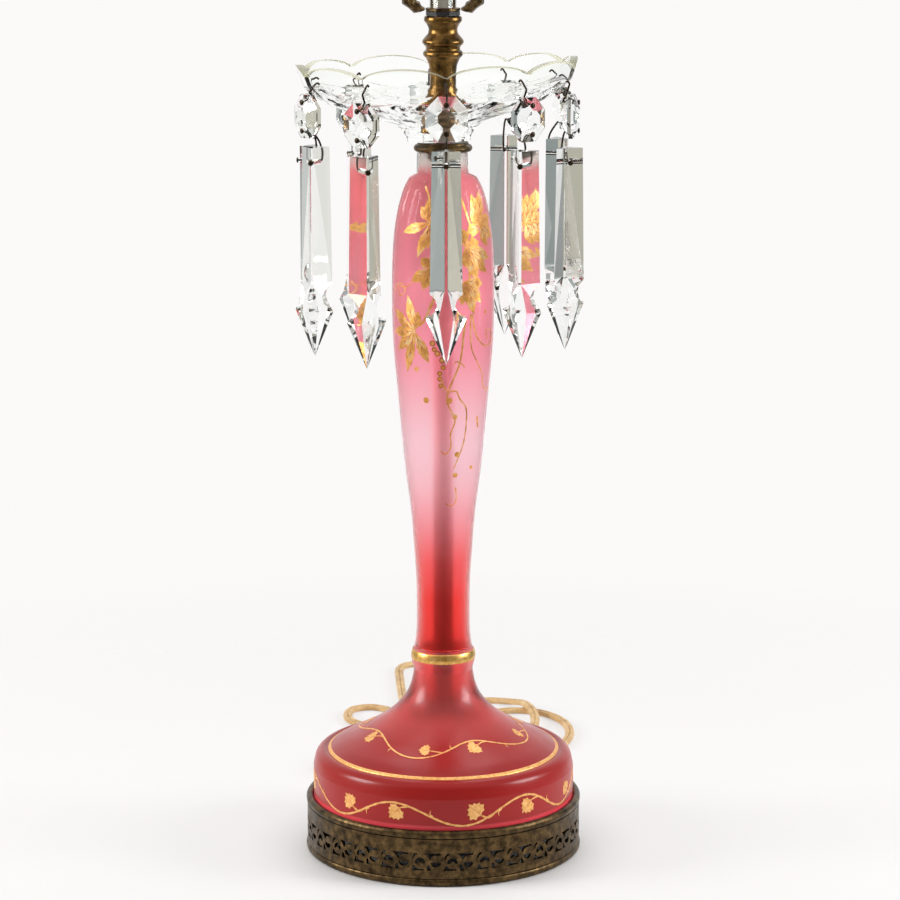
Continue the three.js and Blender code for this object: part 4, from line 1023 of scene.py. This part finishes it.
def build_gallery():
    """The pierced strip: one repeat is cut into triangles flat, then goes round the ring."""
    stretch = CELL_W / (2 * math.pi * BASE_R / GALLERY_CELLS)
    raised = (GALLERY_H - 2 * PIERCED_FROM) / CELL_H
    border = [(x * CELL_W / 4, 0) for x in range(5)] + [(x * CELL_W / 4, GALLERY_H) for x in range(4, -1, -1)]
    pattern = [[(u, PIERCED_FROM + v * raised) for u, v in hole] for hole in scroll_holes()]
    cord_hole = [
        (CELL_W / 2 + CORD_HOLE_R * stretch * math.cos(k * math.pi / 12),
         CORD_Z - GALLERY_Z + CORD_HOLE_R * math.sin(k * math.pi / 12))
        for k in range(24)
    ]
    verts, faces = [], []
    for cell in range(GALLERY_CELLS):
        holes = [cord_hole] if cell == 0 else pattern
        flat, edges = [], []
        for loop in [border] + holes:
            edges += [(len(flat) + i, len(flat) + (i + 1) % len(loop)) for i in range(len(loop))]
            flat += [Vector(q) for q in loop]
        loops = [[Vector(q) for q in hole] for hole in holes]
        points, _, triangles, *_ = delaunay_2d_cdt(flat, edges, [], 0, 1e-5)
        solid = []
        for t in triangles:
            middle = (points[t[0]] + points[t[1]] + points[t[2]]) / 3
            if not any(covers(loop, middle, 0) for loop in loops):
                solid.append(t)
        faces += slab(points, solid, len(verts), (0.0, float(CELL_W)))
        for r in (BASE_R, BASE_R - GALLERY_WALL):
            for q in points:
                a = 2 * math.pi * (cell - 0.5 + q.x / CELL_W) / GALLERY_CELLS
                verts.append((-r * math.sin(a), r * math.cos(a), GALLERY_Z + q.y))
    gallery = piece("pierced_gallery", verts, faces, brass, sharp=40)
    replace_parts(gallery, "base_gallery")


build_gallery()

check = rounded(
    [
        (ROD_HOLE, 348.7), (8.2, 348.7), (8.2, 353.2), (13.5, 353.2), (14.3, 354.1), (14.3, 355.4), (13.5, 356.3),
        (12.5, 356.5), (12.4, 357.6), (ROD_HOLE, 357.6),
    ],
    0.35,
)
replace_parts(turned("check", check, 64, brass, 40), "check_ring")

TURNINGS = [
    (11, 0), (11, 5), (10.2, 10.5), (7.4, 15.2), (6.5, 20), (6.3, 27), (6.9, 32), (8.3, 35.3), (9.8, 36.6),
    (9.6, 38.4), (8.3, 39.2), (8.4, 40.8), (10.1, 42.4), (10.1, 43.8), (8.6, 45.6), (7.2, 47.2), (6.9, 49.4),
    (7.9, 51.6), (9.3, 53.2), (9.2, 54.8), (8.7, SPINDLE_H),
]
spindle = [(ROD_HOLE, SPINDLE_Z), *((r, SPINDLE_Z + z) for r, z in TURNINGS), (ROD_HOLE, SPINDLE_Z + SPINDLE_H)]
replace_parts(turned("turned_spindle", rounded(spindle, 1.2, 4), 64, bronze, 40), "spindle")


# Crystal dish

dish_place = (
    Matrix.Translation((*DISH_SHIFT, DISH_Z))
    @ Matrix.Rotation(math.radians(-DISH_TILT), 4, "Y")
    @ Matrix.Rotation(math.radians(-DISH_TILT), 4, "X")
    @ Matrix.Translation((0, 0, DISH_LIFT - DISH_Z))
)

DISH_SIDES = 240


def build_dish():
    outer = outline_spline(
        [
            (15.5, DISH_Z), (16.4, DISH_Z + 3), (21, DISH_Z + 8), (30, DISH_Z + 11.4), (50, DISH_Z + 17.7),
            (57, DISH_Z + 21.6), (62.5, DISH_Z + 25.4), (66.2, DISH_Z + 29.9), (68.6, DISH_Z + DISH_H),
        ],
        56,
    )
    inner = []
    for i in range(len(outer) - 1, -1, -1):
        before, after = outer[max(0, i - 1)], outer[min(len(outer) - 1, i + 1)]
        run = (after[0] - before[0], after[1] - before[1])
        size = math.hypot(*run)
        q = (outer[i][0] - DISH_GLASS * run[1] / size, outer[i][1] + DISH_GLASS * run[0] / size)
        if q[0] > 20.5:
            inner.append(q)
    inner[0] = (65.6, DISH_Z + DISH_H)
    middle = [(15.0, DISH_Z + 8.5), (14.4, DISH_Z + 4), (DISH_BORE_R, DISH_Z + 4)]
    outline = [(DISH_BORE_R, DISH_Z)] + outer + inner + middle
    verts, faces = turned_mesh(outline, DISH_SIDES)
    start = DISH_H * 0.7
    outer_end = DISH_SIDES * (1 + len(outer))
    made = []
    for n, (x, y, z) in enumerate(verts):
        up = z - DISH_Z
        r = math.hypot(x, y)
        turn = (math.degrees(math.atan2(x, -y)) - FIRST_STRAND) / STRAND_STEP
        if up > start:
            arch = math.sqrt(abs(math.sin(math.pi * turn)))
            height = DISH_H - CUSP_DROP * (1 - arch) - start
            up = start + (up - start) * height / (DISH_H - start)
        depth = 0.0
        if n < outer_end and CUT_FROM < r < CUT_TO:
            # crossed mitre cuts on the under side, ten each way
            share = (r - CUT_FROM) / (CUT_TO - CUT_FROM)
            for way in (1, -1):
                across = (turn + way * share * 1.5) % 1.0
                across = abs(across - 0.5) * STRAND_STEP * math.pi / 180 * r
                depth = max(depth, CUT_DEPTH - across * CUT_SLOPE)
            depth = max(0.0, depth) * min(1, share * 8, (1 - share) * 8)
        made.append(dish_place @ Vector((x, y, DISH_Z + up + depth)))
    dish = piece("cut_dish", made, faces, [dish_crystal, rim_crystal], sharp=32)
    top = DISH_SIDES * len(outer)
    for polygon in dish.data.polygons:
        polygon.material_index = 1 if top - DISH_SIDES <= polygon.index < top + 2 * DISH_SIDES else 0
    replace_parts(dish, "bobeche")


build_dish()


# Strands: an upper pin, an octagon, a lower pin and a spear prism each

# For each strand, from the front one on towards +X: the drop of its button below the dish's hole, and the directions
# that its button and its prism face, in degrees round from the front
HANGS = [
    (2.6, -2, 0), (5.0, 41, -14), (6.6, 80, 20), (5.3, 108, 66), (5.4, 152, 170), (5.2, 180, 192), (5.6, 226, 212),
    (5.0, 250, 276), (2.6, -54, -12), (5.3, -36, 12),
]
BUTTON_R = 10
BUTTON_H = 21
BUTTON_HALF_T = 4.0
BUTTON_EDGE_HALF_T = 1.0
BUTTON_TABLE_R = 4.2
BUTTON_HOLE_IN = 3.7
BUTTON_OUT = 2.6
HALF_AT_HOLE = BUTTON_HALF_T + (BUTTON_EDGE_HALF_T - BUTTON_HALF_T) * (
    (BUTTON_H / 2 - BUTTON_HOLE_IN - BUTTON_TABLE_R) / (BUTTON_H / 2 - BUTTON_TABLE_R)
)
PRISM_IN = 0.6
PRISM_BACK = 3.1
PRISM_HOLE_DOWN = 7
LINK_GAP = 4.4
WIRE = 0.5
WIRE_SIDES = 10
HEAD_RINGS = [(0.0, 0.5), (0.0, 1.3), (0.45, 1.35), (0.75, 0.95), (0.85, 0.35)]
HEAD_SIDES = 14


def strand_place(index):
    angle = math.radians(FIRST_STRAND + STRAND_STEP * index)
    hole = dish_place @ Vector((HOLE_R * math.sin(angle), -HOLE_R * math.cos(angle), HOLE_Z))
    return Matrix.Translation(hole) @ Matrix.Rotation(angle - math.pi / 2, 4, "Z")


def along(middle, direction, distance, z):
    a = math.radians(direction)
    return Vector((middle + distance * math.cos(a), distance * math.sin(a), z))


def pin(name, points, heads, place, body):
    """A bent wire, with a turned head at each pair of points in heads."""
    line = spaced(smooth_line(points, 8), 0.35)
    verts = tube_points(line, WIRE - 0.02, WIRE_SIDES)
    faces = skin(len(line), WIRE_SIDES)
    for low, high in heads:
        way = (high - low).normalized()
        side = way.orthogonal().normalized()
        up = way.cross(side)
        faces += skin(len(HEAD_RINGS), HEAD_SIDES, len(verts))
        for out, r in HEAD_RINGS:
            verts += ring(low + way * out, side, up, r, HEAD_SIDES)
    return piece(name, [place @ v for v in verts], faces, pin_metal, body, sharp=40)


def octagon(name, place, drop, faces_to, body):
    """Eight sides, each sloping from the edge band to a raised middle facet, front and back."""
    turn = Matrix.Translation((BUTTON_OUT, 0, -drop - BUTTON_H / 2)) @ Matrix.Rotation(math.radians(faces_to), 4, "Z")
    table, edge = (BUTTON_HALF_T, 0.42), (BUTTON_EDGE_HALF_T, 1.0)
    verts = []
    for x, share in ((-table[0], table[1]), (-edge[0], edge[1]), edge, table):
        for i in range(8):
            a = math.radians((i + 0.5) * 45)
            r = BUTTON_R / math.cos(math.radians(22.5)) * share
            verts.append(place @ turn @ Vector((x, math.cos(a) * r, math.sin(a) * r * 1.05)))
    return piece(name, verts, skin(4, 8), crystal, body, sharp=0)


def build_strand(index):
    drop, button_faces, prism_faces = HANGS[index]
    number = f"{index + 1:02d}"
    body = "hanger_" + number
    angle = FIRST_STRAND + STRAND_STEP * index
    place = strand_place(index)
    button_turn = button_faces - angle
    prism_turn = prism_faces - angle

    def button(distance, z):
        return along(BUTTON_OUT, button_turn, distance, z)

    def prism(distance, z):
        return along(-PRISM_IN, prism_turn, distance, z)

    def button_head(z):
        return button(HALF_AT_HOLE + 0.35, z), button(HALF_AT_HOLE + 1.2, z)

    w = -drop - BUTTON_HOLE_IN
    back = -HALF_AT_HOLE - WIRE - GAP - 0.6
    points = [
        (-4.4, 0, 2.0), (-3.4, 0, 2.9), (-2.2, 0, 2.2), (0, 0, 0), (1.3, 0, -1.3), (1.2, 0, -2.1),
        button(back * 0.72, -drop - 0.6), button(back, w + 1), button(back + 0.3, w + 0.3), button(back + 1, w),
        button(0, w), button(HALF_AT_HOLE + 0.9, w),
    ]
    upper = pin("pin_upper_" + number, points, [button_head(w)], place, body)
    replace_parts(upper, "upper_pin_" + number)

    w = -drop - BUTTON_H + BUTTON_HOLE_IN
    hole = -drop - BUTTON_H - LINK_GAP - PRISM_HOLE_DOWN
    back = -HALF_AT_HOLE - WIRE - 0.2
    behind = -PRISM_BACK - WIRE - GAP - 0.6
    points = [
        button(HALF_AT_HOLE + 0.9, w), button(0, w), button(back + 1, w), button(back, w - 1),
        prism(behind * 0.85, hole + 8.76), prism(behind - 0.3, hole + 3.5), prism(behind, hole + 1),
        prism(behind + 0.3, hole + 0.3), prism(behind + 1, hole), prism(0, hole), prism(7.5, hole),
    ]
    heads = [button_head(w), (prism(6.85, hole), prism(7.7, hole))]
    lower = pin("pin_lower_" + number, points, heads, place, body)
    stone = octagon("octagon_" + number, place, drop, button_turn, body)
    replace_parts(lower, "button_" + number)
    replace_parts(stone, "button_" + number)


for index in range(len(HANGS)):
    build_strand(index)

# Materials of the nodes that stay

def pair(name):
    return [name + "_left", name + "_right"]


for made, names in (
    # The base plate and lock nut are near black as painted shade inside the base.
    (steel, ["base_plate", "lock_nut"]),
    (rod_metal, ["threaded_rod"]),
    (black, ["spacer_washer"]),
    (cast_brass, ["cluster_hub", "finial", *pair("arm"), *pair("socket_cap"), *pair("socket_shell")]),
    (nickel, ["riser_tube"]),
    (fibre, ["cord_bushing", *pair("socket_insert"), *pair("socket_key")]),
    (lead_vinyl, ["inner_lead", "plug"]),
    (crystal, [f"prism_{index + 1:02d}" for index in range(len(HANGS))]),
):
    for name in names:
        for material_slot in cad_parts[name].material_slots:
            material_slot.material = made

# Floor, world and lamps

def build_floor():
    """A pale disc that fades out. It takes the lamps' light near the object, and further out the eye, gloss and
    glass see some of the background's white on it."""
    made = principled("pale_floor", (0.93, 0.92, 0.915), 0.6)
    paint(made, noise(made, 6.0), [(0.3, (0.93, 0.92, 0.915)), (0.7, (0.95, 0.94, 0.935))])
    radial = node(made, "ShaderNodeVectorMath", operation="LENGTH")
    link(made, place_of(made), radial.inputs[0])
    away = radial.outputs["Value"]
    pale = node(made, "ShaderNodeEmission")
    pale.inputs["Color"].default_value = (0.95, 0.935, 0.93, 1)
    seen = ray_is(made, "Is Camera Ray", "Is Glossy Ray", "Is Transmission Ray")
    glow = maths(made, "MULTIPLY", seen, span(made, away, 0.068, 0.10, 0, 0.6))
    lit = mixed_shader(made, glow, shader_of(made).outputs["BSDF"], pale.outputs["Emission"])
    nothing = node(made, "ShaderNodeBsdfTransparent").outputs["BSDF"]
    faded = mixed_shader(made, span(made, away, 0.22, 0.6, 0, 1), lit, nothing)
    link(made, faded, made.node_tree.nodes["Material Output"].inputs["Surface"])
    verts, faces = turned_mesh([(0, 0), (200, 0), (400, 0), (700, 0), (1200, 0)], 64, closed=False)
    floor = piece("floor", verts, faces, made, body=None)
    floor.data.flip_normals()
    floor.location.z = -0.0001


def build_world():
    """White, with grey on the lamp's right and beige on its left, and for gloss also darker on the camera's side."""
    world = bpy.data.worlds.new("studio")
    bpy.context.scene.world = world
    world.use_nodes = True
    world.node_tree.nodes.clear()

    def share(source, low, high):
        made_node = node(world, "ShaderNodeMapRange", interpolation_type="SMOOTHSTEP")
        made_node.inputs["From Min"].default_value = low
        made_node.inputs["From Max"].default_value = high
        link(world, source, made_node.inputs["Value"])
        return made_node.outputs["Result"]

    def mixed(factor, below, above):
        made_node = node(world, "ShaderNodeMix", data_type="RGBA")
        link(world, factor, made_node.inputs[0])
        feed(world, below, made_node.inputs[6])
        feed(world, above, made_node.inputs[7])
        return made_node.outputs[2]

    def background(colour, strength=1.0):
        made_node = node(world, "ShaderNodeBackground")
        made_node.inputs["Strength"].default_value = strength
        feed(world, colour, made_node.inputs["Color"])
        return made_node.outputs[0]

    place = node(world, "ShaderNodeTexCoord").outputs["Generated"]
    xyz = node(world, "ShaderNodeSeparateXYZ")
    link(world, place, xyz.inputs[0])
    blotches = node(world, "ShaderNodeTexNoise")
    blotches.inputs["Scale"].default_value = 9.0
    blotches.inputs["Detail"].default_value = 4.0
    link(world, place, blotches.inputs["Vector"])
    uneven = share(blotches.outputs["Fac"], 0.3, 0.7)
    grey = mixed(uneven, (0.22, 0.26, 0.26), (0.40, 0.44, 0.43))
    beige = mixed(uneven, (0.46, 0.45, 0.37), (0.64, 0.62, 0.53))
    front = mixed(uneven, (0.25, 0.235, 0.195), (0.38, 0.355, 0.30))
    tones = mixed(share(xyz.outputs["X"], 0.45, 0.75), (1.0, 1.0, 1.0), grey)
    tones = mixed(share(xyz.outputs["X"], -0.5, -0.8), tones, beige)
    on_metal = maths(world, "MULTIPLY", share(xyz.outputs["Y"], -0.45, -0.85), ray_is(world, "Is Glossy Ray"))
    around_it = background(mixed(on_metal, tones, front))
    mirror = ray_is(world, "Is Glossy Ray", "Is Transmission Ray")
    light = mixed_shader(world, mirror, background((1.0, 0.99, 0.98), 0.28), around_it)
    seen = mixed_shader(world, ray_is(world, "Is Camera Ray"), light, background((0.965, 0.95, 0.945)))
    link(world, seen, node(world, "ShaderNodeOutputWorld").inputs["Surface"])


def softbox(name, angle, distance, z, wide, high, watts):
    data = bpy.data.lights.new(name, "AREA")
    data.shape = "RECTANGLE"
    data.size, data.size_y = wide, high
    data.energy = watts
    obj = bpy.data.objects.new(name, data)
    a = math.radians(angle)
    obj.location = (distance * math.sin(a), -distance * math.cos(a), z)
    aim = Vector((0, 0, 0.25)) - obj.location
    obj.rotation_euler = aim.to_track_quat("-Z", "Y").to_euler()
    obj.visible_camera = False
    bpy.context.collection.objects.link(obj)


build_floor()
build_world()
softbox("softbox_left", -82, 1.3, 0.68, 0.6, 0.6, 15)
softbox("softbox_right", 82, 1.3, 0.68, 0.6, 0.6, 15)
softbox("softbox_top", 180, 0.5, 1.5, 1.0, 1.0, 5)
